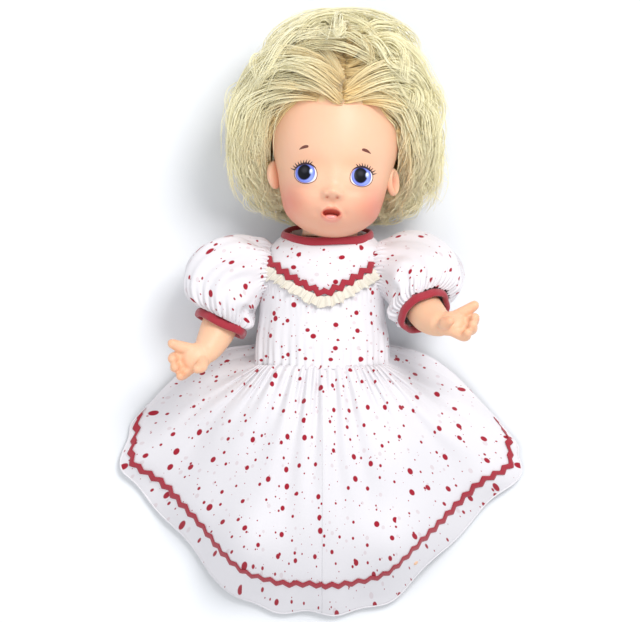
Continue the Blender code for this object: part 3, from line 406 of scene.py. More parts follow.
class DOLL_OT_head(Operator):
    """Soft vinyl head with its relief, painted skin, ears, neck and tongue"""
    bl_idname, bl_label = "doll.head", "Head"

    def execute(self, context):
        rows, around = 205, 296
        pole = np.array([0, -0.62, 0.785])
        pole /= np.linalg.norm(pole)
        side = np.array([1.0, 0, 0])
        up = np.cross(pole, side)
        theta = math.pi * np.linspace(0, 1, rows)[1:-1] ** 1.45
        phi = np.linspace(0, 2 * math.pi, around, endpoint=False)
        t, p = np.meshgrid(theta, phi, indexing="ij")
        direction = (np.cos(t)[..., None] * pole
                     + np.sin(t)[..., None]
                     * (np.cos(p)[..., None] * side + np.sin(p)[..., None] * up)).reshape(-1, 3)
        direction = np.concatenate([direction, [pole, -pole]])
        points = skin_point(direction)
        quads = grid_faces(len(theta), around, True)
        mesh = filled_mesh("head_skin", from_head(points), quads)
        work = bmesh.new()
        work.from_mesh(mesh)
        work.verts.ensure_lookup_table()
        last = (len(theta) - 1) * around
        for i in range(around):
            j = (i + 1) % around
            work.faces.new((work.verts[len(points) - 2], work.verts[i], work.verts[j]))
            work.faces.new((work.verts[len(points) - 1], work.verts[last + j], work.verts[last + i]))
        bmesh.ops.recalc_face_normals(work, faces=work.faces)
        work.to_mesh(mesh)
        work.free()
        set_colour(mesh, "paint", skin_colours(points, hairline(direction)))
        skin = skin_material()
        head = put("head_skin", mesh, skin, "head")
        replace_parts(head, "head_shell", "mouth_cup")
        for label, hand in (("left", 1), ("right", -1)):
            self.ear(label, hand, skin)
        self.neck(skin)
        self.tongue()
        return {"FINISHED"}

    def ear(self, label, hand, skin):
        """An ear: a flattened round form with a rolled rim and a hollow."""
        t, p = np.meshgrid(np.linspace(0.02, math.pi - 0.02, 44),
                           np.linspace(0, 2 * math.pi, 56, endpoint=False),
                           indexing="ij")
        out, a, b = np.cos(t), np.sin(t) * np.cos(p), np.sin(t) * np.sin(p)
        spread = np.sin(t)
        hollow = np.exp(-(((a + 0.05) / 0.50) ** 2 + (b / 0.42) ** 2)) * (out > 0)
        rim = np.exp(-((spread - 0.82) / 0.14) ** 2) * (out > 0)
        local = (np.stack([3.0 * out - 3.4 * hollow + 0.9 * rim, 9.0 * a * (1 - 0.10 * b),
                           5.8 * b + 1.0 * a], -1) * MM)
        turn = Matrix.Rotation(-hand * 0.55, 3, "Y") @ Matrix.Rotation(0.12, 3, "X")
        local = local.reshape(-1, 3) @ np.array(turn).T
        local[:, 0] *= hand if hand < 0 else 1
        local[:, 0] = local[:, 0] + hand * 37.4 * MM
        local[:, 1] += 36.0 * MM
        local[:, 2] += 13.0 * MM
        mesh = filled_mesh(f"{label}_ear", from_head(local), grid_faces(44, 56, True))
        mesh = turned_out(mesh)
        close_ends(mesh)
        colours = np.tile(np.array(bpy.context.scene.doll_skin.base), (len(mesh.vertices), 1))
        pink = (0.75 * hollow.reshape(-1))[:, None]
        colours = colours * (1 - pink) + np.array([0.66, 0.20, 0.12]) * pink
        set_colour(mesh, "paint", colours)
        put(f"{label}_ear", mesh, skin, "head")

    def neck(self, skin):
        """The short neck under the chin."""
        profile = [(19, 12), (18, 6), (17.5, 1), (18, -0.9), (15, -1.2), (9.2, -1.2), (9.2, 12), (19, 12)]
        a = np.linspace(0, 2 * math.pi, 64, endpoint=False)
        rings = np.array([[(r * math.cos(k), h, r * math.sin(k)) for k in a] for r, h in profile[:-1]]) * MM
        mesh = filled_mesh("neck_skin", from_head(rings.reshape(-1, 3)),
                           np.concatenate([grid_faces(7, 64, True),
                                           [(6 * 64 + i, 6 * 64 + (i + 1) % 64, (i + 1) % 64, i)
                                            for i in range(64)]]))
        turned_out(mesh)
        set_colour(mesh, "paint",
                   np.tile(np.array(bpy.context.scene.doll_skin.base), (len(mesh.vertices), 1)))
        put("neck_skin", mesh, skin, "head")

    def tongue(self):
        look, _, _ = new_material("wet_tongue", Base_Color=(0.86, 0.36, 0.31, 1), Roughness=0.22,
                                  Coat_Weight=0.4)
        work = bmesh.new()
        bmesh.ops.create_uvsphere(work, u_segments=40, v_segments=24, radius=1)
        mesh = bpy.data.meshes.new("tongue_top")
        work.to_mesh(mesh)
        work.free()
        points = np.array([v.co for v in mesh.vertices])
        points = points * np.array([4.4, 1.5, 3.4]) * MM + np.array([0, 10.3, 46.0]) * MM
        mesh.vertices.foreach_set("co", from_head(points).ravel())
        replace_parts(put("tongue_top", mesh, look, "head"), "tongue")


def close_ends(mesh):
    """Fills the small holes at a grid's two ends."""
    work = bmesh.new()
    work.from_mesh(mesh)
    bmesh.ops.holes_fill(work, edges=[e for e in work.edges if e.is_boundary], sides=0)
    bmesh.ops.recalc_face_normals(work, faces=work.faces)
    work.to_mesh(mesh)
    work.free()


# ---------------------------------------------------------------- painted eyes

def eye_material():
    """A painted eye drawn in its own UV map, one unit to a millimetre, +U towards the doll's left."""
    made, tree, shader = new_material("painted_eyes", Roughness=0.28, Specular_IOR_Level=0.2)
    place = node(tree, "ShaderNodeSeparateXYZ", {0: node(tree, "ShaderNodeUVMap", uv_map="UVMap").outputs[0]})
    u, v = place.outputs[0], place.outputs[1]

    def ellipse(x, y, wide, high, blur):
        """1 inside an ellipse and 0 outside."""
        dx = node(tree, "ShaderNodeMath", {0: u, 1: x}, operation="SUBTRACT").outputs[0]
        dy = node(tree, "ShaderNodeMath", {0: v, 1: y}, operation="SUBTRACT").outputs[0]
        dx = node(tree, "ShaderNodeMath", {0: dx, 1: wide}, operation="DIVIDE").outputs[0]
        dy = node(tree, "ShaderNodeMath", {0: dy, 1: high}, operation="DIVIDE").outputs[0]
        flat = node(tree, "ShaderNodeCombineXYZ", {0: dx, 1: dy}).outputs[0]
        length = node(tree, "ShaderNodeVectorMath", {0: flat}, operation="LENGTH").outputs["Value"]
        return node(tree, "ShaderNodeMapRange", {0: length, 1: 1 - blur, 2: 1 + blur, 3: 1.0, 4: 0.0},
                    interpolation_type="SMOOTHSTEP").outputs[0]

    iris = bpy.context.scene.doll_skin.iris
    colour = mix_colour(tree, ellipse(-0.3, 0.3, 6.15, 6.3, 0.03), (0.90, 0.89, 0.92, 1),
                        (0.10, 0.08, 0.42, 1))
    colour = mix_colour(tree, ellipse(-0.3, 0.3, 5.75, 5.95, 0.10), colour, (*iris, 1))
    colour = mix_colour(tree, ellipse(1.4, -2.4, 3.6, 2.6, 0.7), colour, (0.30, 0.37, 0.90, 1))
    colour = mix_colour(tree, ellipse(-0.75, 0.7, 4.35, 5.0, 0.10), colour, (0.03, 0.035, 0.20, 1))
    colour = mix_colour(tree, ellipse(-0.75, 0.75, 3.95, 4.6, 0.06), colour, (0.003, 0.003, 0.006, 1))
    colour = mix_colour(tree, ellipse(-0.7, 2.0, 1.6, 1.5, 0.85), colour, (0.035, 0.035, 0.045, 1))
    colour = mix_colour(tree, ellipse(3.4, 1.3, 1.0, 1.5, 0.60), colour, (0.50, 0.60, 0.97, 1))
    colour = mix_colour(tree, ellipse(3.35, 1.7, 0.62, 0.95, 0.30), colour, (1, 1, 1, 1))
    tree.links.new(colour, shader.inputs["Base Color"])
    return made


def eye_edge(angle, hand):
    """Outline of an eye as a share of its half sizes, drawn out a little towards the nose below."""
    x, y = np.cos(angle), np.sin(angle)
    corner = 0.10 * np.exp(-((np.degrees(np.arctan2(y, -hand * x)) + 35) / 28) ** 2)
    return 1 - 0.05 * np.exp(-((y - 1) / 0.3) ** 2) + corner


def on_face(x, y, lift):
    """Points on the face's skin, raised by lift millimetres. x and y are in millimetres."""
    x, y = np.asarray(x, float), np.asarray(y, float)
    z = face_height(x * MM, y * MM)
    return from_head(np.stack([x * MM, y * MM, z + lift * MM], -1))


def painted_stroke(spine, widths, lift):
    """A stroke of paint along a line of (x, y) on the face, tapering as its widths say."""
    spine, widths = np.array(spine, float), np.array(widths, float)
    along = np.gradient(spine, axis=0)
    along /= np.linalg.norm(along, axis=1, keepdims=True)
    across = np.stack([-along[:, 1], along[:, 0]], -1)
    steps = np.linspace(-1, 1, 7)
    x = spine[:, None, 0] + across[:, None, 0] * widths[:, None] / 2 * steps
    y = spine[:, None, 1] + across[:, None, 1] * widths[:, None] / 2 * steps
    top = on_face(x, y, lift * (1.0 - 0.9 * np.abs(steps) ** 3))
    low = on_face(x, y, -0.25 * np.ones(7))
    return ribbon_points(top, low)


def ribbon_points(top, low):
    """Points and quads of a closed strip between two grids of the same size."""
    rows, cols = top.shape[:2]
    points = np.concatenate([top.reshape(-1, 3), low.reshape(-1, 3)])
    base, shift = grid_faces(rows, cols), rows * cols
    faces = [base, base[:, ::-1] + shift]
    r, c = np.arange(rows - 1), np.arange(cols - 1)
    for i, flip in ((r * cols, False), (r * cols + cols - 1, True)):
        quad = np.stack([i, i + cols, i + cols + shift, i + shift], -1)
        faces.append(quad[:, ::-1] if flip else quad)
    for i, flip in ((c, True), ((rows - 1) * cols + c, False)):
        quad = np.stack([i, i + 1, i + 1 + shift, i + shift], -1)
        faces.append(quad[:, ::-1] if flip else quad)
    return points, np.concatenate(faces)


def gathered(parts):
    """Several (points, faces) as one."""
    points, faces, count = [], [], 0
    for p, f in parts:
        points.append(p)
        faces.append(f + count)
        count += len(p)
    return np.concatenate(points), np.concatenate(faces)


class DOLL_OT_eyes(Operator):
    """Painted eyes, lashes and brows, each a thin coat on the face"""
    bl_idname, bl_label = "doll.eyes", "Eyes"

    def execute(self, context):
        paint = eye_material()
        ink, _, _ = new_material("dark_lash_paint", Base_Color=(0.035, 0.012, 0.02, 1), Roughness=0.35)
        brown, _, _ = new_material("brown_brow_paint", Base_Color=(0.16, 0.045, 0.03, 1), Roughness=0.45)
        for label, hand in (("left", 1), ("right", -1)):
            rings, around = 40, 96
            share, angle = np.meshgrid(np.linspace(0.012, 1, rings),
                                       np.linspace(0, 2 * math.pi, around, endpoint=False),
                                       indexing="ij")
            reach = share * eye_edge(angle, hand)
            x = hand * EYE_X + reach * np.cos(angle) * EYE_WIDE
            y = EYE_Y + reach * np.sin(angle) * EYE_HIGH
            lift = 0.35 - 0.55 * share ** 8
            points = on_face(x, y, lift)
            mesh = filled_mesh(f"{label}_eye", points.reshape(-1, 3), grid_faces(rings, around, True))
            close_inner(mesh, around)
            turned_out(mesh)
            set_uv(mesh, np.stack([x - hand * EYE_X, y - EYE_Y], -1).reshape(-1, 2))
            put(f"{label}_eye", thick_below(mesh), paint, "head")
            points, faces = gathered(self.lashes(hand))
            put(f"{label}_lashes", turned_out(filled_mesh(f"{label}_lashes", points, faces)), ink, "head")
            spine = [(hand * (16.6 + 5.6 * t), 52.6 + 0.5 * math.sin(math.pi * t) - 2.0 * t)
                     for t in np.linspace(0, 1, 16)]
            widths = 1.9 * np.sin(math.pi * np.linspace(0.08, 0.98, 16) ** 0.75) ** 0.7
            points, faces = painted_stroke(spine, widths, 0.18)
            put(f"{label}_brow", turned_out(filled_mesh(f"{label}_brow", points, faces)), brown, "head")
        return {"FINISHED"}

    def lashes(self, hand):
        """The dark upper line of the eye, a thin line all round and nine short lashes."""
        def rim(angle, extra=0.0):
            reach = eye_edge(angle, hand)
            return np.stack([hand * EYE_X + (EYE_WIDE * reach + extra) * np.cos(angle),
                             EYE_Y + (EYE_HIGH * reach + extra) * np.sin(angle)], -1)
        start, end = (12, 150) if hand > 0 else (168, 30)
        parts = []
        angle = np.radians(np.linspace(start, end, 60))
        width = 0.35 + 1.15 * np.sin(math.pi * np.linspace(0, 1, 60)) ** 0.8 * np.linspace(1.0, 0.75, 60)
        parts.append(painted_stroke(rim(angle, 0.15), width, 0.42))
        angle = np.radians(np.linspace(start, start - hand * 222, 90))
        parts.append(painted_stroke(rim(angle, 0.05), np.full(90, 0.34), 0.30))
        draw = rng(LASH_SEED + hand)
        for i in range(9):
            share = i / 8
            degrees = start + (end - start) * (0.06 + 0.66 * share)
            a = math.radians(degrees)
            root = rim(np.array([a]), 0.3)[0]
            lean = a - hand * math.radians(14 - 22 * share)
            length = 2.5 + 0.5 * draw.random() - 0.6 * share
            t = np.linspace(0, 1, 8)
            spine = np.stack([root[0] + np.cos(lean + 0.25 * hand * t) * length * t,
                              root[1] + np.sin(lean + 0.25 * hand * t) * length * t], -1)
            parts.append(painted_stroke(spine, 0.85 * (1 - t) ** 0.7 + 0.06, 0.30))
        return parts


def close_inner(mesh, around):
    """Joins the first ring of a round grid at its middle."""
    work = bmesh.new()
    work.from_mesh(mesh)
    work.verts.ensure_lookup_table()
    work.faces.new([work.verts[i] for i in range(around)])
    work.to_mesh(mesh)
    work.free()


def thick_below(mesh, depth=WALL):
    """A thin coat given a back, so that it is one closed form."""
    obj = bpy.data.objects.new("coat", mesh)
    bpy.context.scene.collection.objects.link(obj)
    wall = obj.modifiers.new("back", "SOLIDIFY")
    wall.thickness, wall.offset = depth, -1.0
    return applied(obj)


# ---------------------------------------------------------------- hair

PART_X = 2.0  # where the parting lies, in millimetres in the head's frame
SKULL_WIDE = 41  # half the skull's width in millimetres
SCALP_PLACES, LOCK_STEPS, STRAND_SIDES = 2400, 18, 3
MOST_TRIANGLES = 190000  # in one piece of hair


def hair_edge(round_face):
    """Angle from the face's middle at which hair begins, in degrees, for a place round the face."""
    return np.interp(np.abs(round_face), [0, 25, 50, 70, 90, 120, 150, 180],
                     [27, 33, 49, 63, 80, 107, 127, 134])


def over_scalp(turn, tip, lift):
    """Points lifted off the scalp, in millimetres. turn goes round the face, tip back from its front."""
    t, p = np.radians(tip), np.radians(turn)
    direction = np.stack([np.sin(t) * np.sin(p), np.sin(t) * np.cos(p), np.cos(t)], -1)
    half = HEAD_HALF * 1000
    point = HEAD_CENTRE * 1000 + direction / np.linalg.norm(direction / half, axis=-1, keepdims=True)
    normal = (point - HEAD_CENTRE * 1000) / half ** 2
    normal /= np.linalg.norm(normal, axis=-1, keepdims=True)
    return point + normal * lift[..., None]


def lock_paths(look, steps=LOCK_STEPS):
    """Centre lines of the locks in millimetres in the head's frame, with how high each one lies."""
    draw = rng(LOCK_SEED)
    golden = math.pi * (3 - math.sqrt(5))
    index = np.arange(SCALP_PLACES)
    z = 1 - 2 * (index + 0.5) / len(index)
    ring = np.sqrt(1 - z * z)
    roots = np.stack([ring * np.cos(index * golden), ring * np.sin(index * golden), z], -1)
    inland = hairline(roots)
    keep = (inland > 0.4) & ((inland < 12) | (draw.random(len(roots)) < 0.5) | (abs(roots[:, 0]) < 0.2))
    roots = roots[keep][draw.permutation(keep.sum())[:look.locks]]
    near = np.radians(np.linspace(29, 92, 36))
    for hand in (1, -1):  # a row of locks along each side of the parting
        side = PART_X / SKULL_WIDE + hand * draw.uniform(-0.03, 0.05, len(near))
        row = np.stack([side, np.sin(near), np.cos(near)], -1)
        roots = np.concatenate([roots, row / np.linalg.norm(row, axis=1, keepdims=True)])
    inland = hairline(roots)
    t = np.linspace(0, 1, steps)
    paths, heights = [], []
    for i, root in enumerate(roots):
        turn0 = math.degrees(math.atan2(root[0], root[1]))
        tip0 = math.degrees(math.acos(np.clip(root[2], -1, 1)))
        hand = 1 if root[0] * SKULL_WIDE > PART_X + draw.normal(0, 0.8) else -1
        crown = root[1] > 0.42 and tip0 > 66 and draw.random() < 0.75
        near_edge = inland[i] < 9
        if crown:
            turn1 = (turn0 + hand * draw.uniform(4, 70) if draw.random() < 0.72
                     else -0.6 * turn0 - hand * draw.uniform(0, 25))
            tip1 = np.clip(tip0 + draw.uniform(-22, 14), 58, 118)
            height = draw.uniform(12, 27)
        else:
            turn1 = hand * draw.uniform(92, 142) if draw.random() < 0.8 else hand * draw.uniform(70, 110)
            if abs(turn0) > abs(turn1) - 20:
                turn1 = hand * min(abs(turn0) + draw.uniform(10, 30), 165)
            tip1 = draw.uniform(66, 112)
            height = draw.uniform(5, 25) * (0.70 if near_edge else 1.0)
            if near_edge and draw.random() < 0.4:
                height = draw.uniform(1.5, 5.0)
        ease = t ** draw.uniform(0.85, 1.25)
        turn = turn0 + (turn1 - turn0) * ease
        tip = tip0 + (tip1 - tip0) * smooth_step(t, 0.0, draw.uniform(0.55, 0.95))
        tip += draw.normal(0, 4) * np.sin(t * draw.uniform(4, 8) + draw.uniform(0, 6)) * t
        tip = np.maximum(tip, hair_edge(turn) + 1.5 * (1 - t) - 9 * t ** 2)
        rise = smooth_step(t, 0.0, draw.uniform(0.25, 0.5)) ** 0.8
        flip = draw.uniform(-9, 9) * smooth_step(t, 0.62, 1.0)
        lift = (0.6 + height * rise + flip
                + draw.normal(0, 1.6) * np.sin(t * draw.uniform(5, 11) + draw.uniform(0, 6)) * t)
        if crown:
            lift += 5 * np.sin(t * draw.uniform(3, 6)) * t
        lift *= 1 - 0.35 * smooth_step(np.abs(turn), 118, 150) * smooth_step(t, 0.4, 1)
        path = over_scalp(turn, tip, np.maximum(lift, 0.5))
        bend = np.sin(t * draw.uniform(3, 7) + draw.uniform(0, 6)) * t
        path = path + bend[:, None] * draw.normal(0, 1.7, 3)
        paths.append(path)
        heights.append(height)
    return np.array(paths), np.array(heights)


def kept_in(points, radius):
    """Strand points kept off the floor, out of the skull and inside the hair's outline, in metres."""
    half = HEAD_HALF * 1000 + 0.3
    rel = (points - HEAD_CENTRE * 1000) / half
    depth = np.linalg.norm(rel, axis=-1, keepdims=True)
    points = HEAD_CENTRE * 1000 + rel * np.maximum(depth, 1.0) / np.maximum(depth, 1e-6) * half
    low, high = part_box("hair")
    world = from_head(points * MM)
    floor = radius + 0.6 * MM
    world[..., 2] = floor + np.logaddexp(0, (world[..., 2] - floor) / (2.5 * MM)) * 2.5 * MM
    for axis in (0, 1):
        middle, half = (low[axis] + high[axis]) / 2, (high[axis] - low[axis]) / 2
        share = (world[..., axis] - middle) / half
        pressed = np.sign(share) * (0.90 + 0.14 * np.tanh((np.abs(share) - 0.90) / 0.14))
        world[..., axis] = middle + np.where(np.abs(share) > 0.90, pressed, share) * half
    return world


def strand_tubes(lines, radius, sides=STRAND_SIDES):
    """Closed tapering tubes along many lines: points, faces and how far along its line each point is."""
    count, steps = lines.shape[:2]
    along = np.gradient(lines, axis=1)
    along /= np.maximum(np.linalg.norm(along, axis=-1, keepdims=True), 1e-12)
    side = np.cross(along, np.array([0.31, 0.22, 0.93]))
    side /= np.maximum(np.linalg.norm(side, axis=-1, keepdims=True), 1e-12)
    other = np.cross(along, side)
    share = np.linspace(0, 1, steps)
    width = radius * (1 - 0.75 * share ** 4)
    corner = np.arange(sides) * 2 * math.pi / sides
    ring = (lines[:, :, None]
            + (np.cos(corner)[:, None] * side[:, :, None] + np.sin(corner)[:, None] * other[:, :, None])
            * width[None, :, None, None])
    points = ring.reshape(-1, 3)
    quads = grid_faces(steps, sides, True)
    tris = np.concatenate([quads[:, [0, 1, 2]], quads[:, [0, 2, 3]],
                           [[2, 1, 0]],
                           [[(steps - 1) * sides, (steps - 1) * sides + 1, (steps - 1) * sides + 2]]])
    faces = (tris[None] + (np.arange(count) * steps * sides)[:, None, None]).reshape(-1, 3)
    return points, faces, np.tile(np.repeat(share, sides), count)


def hair_material():
    made, tree, shader = new_material("blonde_strands", Roughness=0.34, IOR=1.5, Sheen_Weight=0.35,
                                      Sheen_Roughness=0.4)
    tree.links.new(node(tree, "ShaderNodeVertexColor", layer_name="tint").outputs[0],
                   shader.inputs["Base Color"])
    return made


class DOLL_OT_hair(Operator):
    """Short parted hair in locks of fine strands, flipped out at the ends"""
    bl_idname, bl_label = "doll.hair", "Hair"

    def execute(self, context):
        look = context.scene.doll_hair
        paths, heights = lock_paths(look)
        draw = rng(STRAND_SEED)
        locks, steps = paths.shape[:2]
        share = np.linspace(0, 1, steps)
        lines, tints = [], []
        pale, gold = np.array(look.pale), np.array(look.gold)
        for lock in range(locks):
            path = paths[lock]
            n = look.strands
            along = np.gradient(path, axis=0)
            along /= np.linalg.norm(along, axis=1, keepdims=True)
            a = np.cross(along, np.array([0.2, 0.1, 0.97]))
            a /= np.linalg.norm(a, axis=1, keepdims=True)
            b = np.cross(along, a)
            angle, reach = draw.uniform(0, 2 * math.pi, n), np.sqrt(draw.uniform(0, 1, n))
            wide = 3.6 * draw.uniform(0.6, 1.3)
            profile = (0.48 + 0.57 * smooth_step(share, 0, 0.25) + 0.15 * np.sin(math.pi * share)
                       - 0.75 * smooth_step(share, 0.60, 1.0))
            spread_a = (np.cos(angle) * reach)[:, None] * profile * wide
            spread_b = (np.sin(angle) * reach)[:, None] * profile * wide * 0.55
            stray = draw.normal(0, 1, (n, 3)) * (0.35 + 2.2 * (draw.random((n, 1)) < 0.10))
            waves = np.sin(share[None, :, None] * draw.uniform(3, 9, (n, 1, 1))
                           + draw.uniform(0, 6.3, (n, 1, 3)))
            line = (path[None] + spread_a[..., None] * a[None] + spread_b[..., None] * b[None]
                    + stray[:, None] * (share ** 1.4)[None, :, None] * 2.2
                    + waves * (0.55 * share[None, :, None]))
            cut_short = draw.uniform(0.80, 1.0, n)
            place = share[None] * cut_short[:, None] * (steps - 1)
            low = np.minimum(place.astype(int), steps - 2)
            part = (place - low)[..., None]
            row = np.arange(n)[:, None]
            line = line[row, low] * (1 - part) + line[row, low + 1] * part
            lines.append(line)
            # Locks that stand high off the scalp are paler and those lying low darker gold: painted shade
            # within the hair, with a random tone for each lock and strand.
            shade_and_tone = np.clip(0.55 + heights[lock] / 32 + draw.normal(0, 0.18) + draw.normal(0, 0.15, n), 0, 1)
            tints.append(shade_and_tone)
        lines, shades_and_tones = np.concatenate(lines), np.concatenate(tints)
        world = kept_in(lines, look.radius)
        material = hair_material()
        piece = MOST_TRIANGLES // (2 * STRAND_SIDES * (steps - 1) + 2)
        for number, first in enumerate(range(0, len(world), piece)):
            chosen = slice(first, min(first + piece, len(world)))
            points, faces, share_at = strand_tubes(world[chosen], look.radius)
            mesh = filled_mesh(f"hair_{number}", points, faces)
            shade_and_tone = np.repeat(shades_and_tones[chosen], steps * STRAND_SIDES)
            # Strands turn darker gold towards their roots: painted shade near the scalp.
            mixed = np.clip(shade_and_tone * (0.30 + 0.90 * smooth_step(share_at, 0.0, 0.40)), 0, 1)[:, None]
            set_colour(mesh, "tint", gold * (1 - mixed) + pale * mixed)
            obj = put(f"hair_{number}", mesh, material, "head")
            if number == 0:
                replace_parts(obj, "hair")
        return {"FINISHED"}


# ---------------------------------------------------------------- cloth shapes

WAIST_Y, SKIRT_MIDDLE, SKIRT_REACH = -0.034, -0.055, 0.140
TORSO_Z, TORSO_FLAT = 0.0345, 0.745
COLLAR_Y, COLLAR_LEAN = 0.0505, 0.20  # top of the bodice, and how far it and the collar tip back
ARMHOLE_Y, ARMHOLE_Z, ARMHOLE_RADIUS, ARMHOLE_FROM_X = 0.029, 0.0375, 0.0138, 0.030
SHOULDERS = {"left": (np.array([0.0445, 0.031, 0.0375]), 1, math.radians(38)),
             "right": (np.array([-0.0445, 0.031, 0.0375]), -1, math.radians(2))}
HIPS = {"left": np.array([0.0285, -0.064, 0.0325]), "right": np.array([-0.0285, -0.064, 0.0325])}


def dotted_group():
    """Printed dots of several sizes, faint ones between them and the weave, over a UV map in metres."""
    group, inside, outside = new_group(
        "dotted_cloth", [("Vector", "NodeSocketVector", None), ("Cloth", "NodeSocketColor", None),
                         ("Dots", "NodeSocketColor", None), ("Spacing", "NodeSocketFloat", 0.013)],
        [("Color", "NodeSocketColor"), ("Normal", "NodeSocketVector"), ("Mask", "NodeSocketFloat")])
    place = inside.outputs["Vector"]
    scale = node(group, "ShaderNodeMath", {0: 1.0, 1: inside.outputs["Spacing"]},
                 operation="DIVIDE").outputs[0]

    def layer(pace, biggest, least, shift):
        moved = node(group, "ShaderNodeVectorMath", {0: place, 1: (shift, shift * 0.7, 0)},
                     operation="ADD").outputs[0]
        fine = node(group, "ShaderNodeMath", {0: scale, 1: pace}, operation="MULTIPLY").outputs[0]
        cells = node(group, "ShaderNodeTexVoronoi", {"Vector": moved, "Scale": fine, "Randomness": 1.0},
                     voronoi_dimensions="2D")
        chance = node(group, "ShaderNodeSeparateColor", {0: cells.outputs["Color"]})
        size = node(group, "ShaderNodeMapRange",
                    {0: chance.outputs[0], 1: least, 2: 1.0, 3: biggest * 0.5, 4: biggest})
        there = node(group, "ShaderNodeMath", {0: chance.outputs[0], 1: least},
                     operation="GREATER_THAN").outputs[0]
        size = node(group, "ShaderNodeMath", {0: size.outputs[0], 1: there}, operation="MULTIPLY").outputs[0]
        inner = node(group, "ShaderNodeMath", {0: size, 1: cells.outputs["Distance"]},
                     operation="SUBTRACT").outputs[0]
        return node(group, "ShaderNodeMapRange", {0: inner, 1: 0.0, 2: 0.03, 3: 0.0, 4: 1.0}).outputs[0]

    strong = node(group, "ShaderNodeMath",
                  {0: layer(1.0, 0.16, 0.30, 0.0), 1: layer(1.25, 0.105, 0.30, 0.31)},
                  operation="MAXIMUM").outputs[0]
    strong = node(group, "ShaderNodeMath", {0: strong, 1: layer(2.1, 0.075, 0.45, 0.57)},
                  operation="MAXIMUM").outputs[0]
    faint = node(group, "ShaderNodeMath", {0: layer(1.1, 0.13, 0.45, 0.83), 1: 0.16},
                 operation="MULTIPLY").outputs[0]
    mask = node(group, "ShaderNodeMath", {0: strong, 1: faint}, operation="MAXIMUM").outputs[0]
    colour = mix_colour(group, mask, inside.outputs["Cloth"], inside.outputs["Dots"])
    weave = node(group, "ShaderNodeTexNoise",
                 {"Vector": place, "Scale": 2600.0, "Detail": 2.0}).outputs["Fac"]
    group.links.new(colour, outside.inputs["Color"])
    group.links.new(bump(group, weave, 0.25, 0.00015), outside.inputs["Normal"])
    group.links.new(mask, outside.inputs["Mask"])
    return group


def dotted_material():
    look = bpy.context.scene.doll_dress
    made, tree, shader = new_material("dotted_voile", Roughness=0.85, Sheen_Weight=0.2,
                                      Specular_IOR_Level=0.2)
    dots = node(tree, "ShaderNodeGroup", node_tree=bpy.data.node_groups.get("dotted_cloth") or dotted_group())
    tree.links.new(node(tree, "ShaderNodeUVMap", uv_map="UVMap").outputs[0], dots.inputs["Vector"])
    dots.inputs["Cloth"].default_value, dots.inputs["Dots"].default_value = (*look.cloth, 1), (*look.dots, 1)
    dots.inputs["Spacing"].default_value = look.dot_spacing
    tree.links.new(dots.outputs["Color"], shader.inputs["Base Color"])
    tree.links.new(dots.outputs["Normal"], shader.inputs["Normal"])
    return made


def plain_cloth(name, colour, roughness=0.85):
    made, tree, shader = new_material(name, Base_Color=(*colour, 1), Roughness=roughness, Sheen_Weight=0.3)
    place = node(tree, "ShaderNodeTexCoord").outputs["Object"]
    rib = node(tree, "ShaderNodeTexNoise", {"Vector": place, "Scale": 1800.0, "Detail": 2.0}).outputs["Fac"]
    tree.links.new(bump(tree, rib, 0.5, 0.0003), shader.inputs["Normal"])
    return made


def cloth_piece(name, points, uv, material, body=None, wrap=False, thickness=WALL):
    """A sheet from a grid of points, with its UV map in metres and a thin wall, riding on its body."""
    rows, cols = points.shape[:2]
    mesh = filled_mesh(name, points.reshape(-1, 3), grid_faces(rows, cols, wrap))
    set_uv(mesh, np.asarray(uv).reshape(-1, 2))
    return put(name, turned_out(closed_shell(mesh, thickness)), material, body)


def bodice_radius(y):
    return np.interp(-y * 1000, [-51, -48, -42, -31, 0, 33.4, 36], [27.5, 31, 37, 40.2, 40, 41.9, 42.3]) * MM


class DOLL_OT_bodice(Operator):
    """Gathered bodice of the dotted dress, from its collar to its waist, open round the arms"""
    bl_idname, bl_label = "doll.bodice", "Bodice"

    def execute(self, context):
        rows, cols = 92, 270
        height = np.linspace(COLLAR_Y, WAIST_Y - 0.0008, rows)
        angle = np.linspace(math.pi, 3 * math.pi, cols, endpoint=False)
        h, a = np.meshgrid(height, angle, indexing="ij")
        across, deep = np.sin(a), np.cos(a)
        lean = COLLAR_LEAN * (deep * 0.027)
        top_share = smooth_step(h, 0.022, COLLAR_Y)
        y = h - lean * top_share
        radius = bodice_radius(y)
        gather = smooth_step(h, 0.012, -0.034)
        low_pleats = (0.75 * MM * gather * np.sin(a * 46 + 1.5 * np.sin(a * 3))
                      * (0.4 + 0.6 * smooth_step(h, -0.012, -0.034)))
        folds = 0.9 * MM * soft_noise(a * 9, h * 60, 3) * (0.3 + 0.7 * gather)
        under = new_yoke(across * radius) - 0.004
        yoke_gathers = (0.45 * MM * np.sin(a * 70 + np.sin(a * 5) * 2)
                        * smooth_step(y, under - 0.022, under - 0.004)
                        * (y < under) * smooth_step(deep, 0.2, 0.6))
        puff = 2.0 * MM * np.exp(-((h + 0.012) / 0.014) ** 2)
        out = radius + low_pleats + folds + yoke_gathers + puff * gather
        points = np.stack([across * out + 0.003 * smooth_step(h, 0.030, COLLAR_Y), y,
                           TORSO_Z + deep * out * TORSO_FLAT], -1)
        uv = np.stack([a * 0.036 + 0.4, h], -1)
        sheet = bodice_with_armholes(points, uv)
        obj = put("dress_bodice_cloth", sheet, dotted_material(), "torso")
        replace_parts(obj, "dress_bodice")
        return {"FINISHED"}


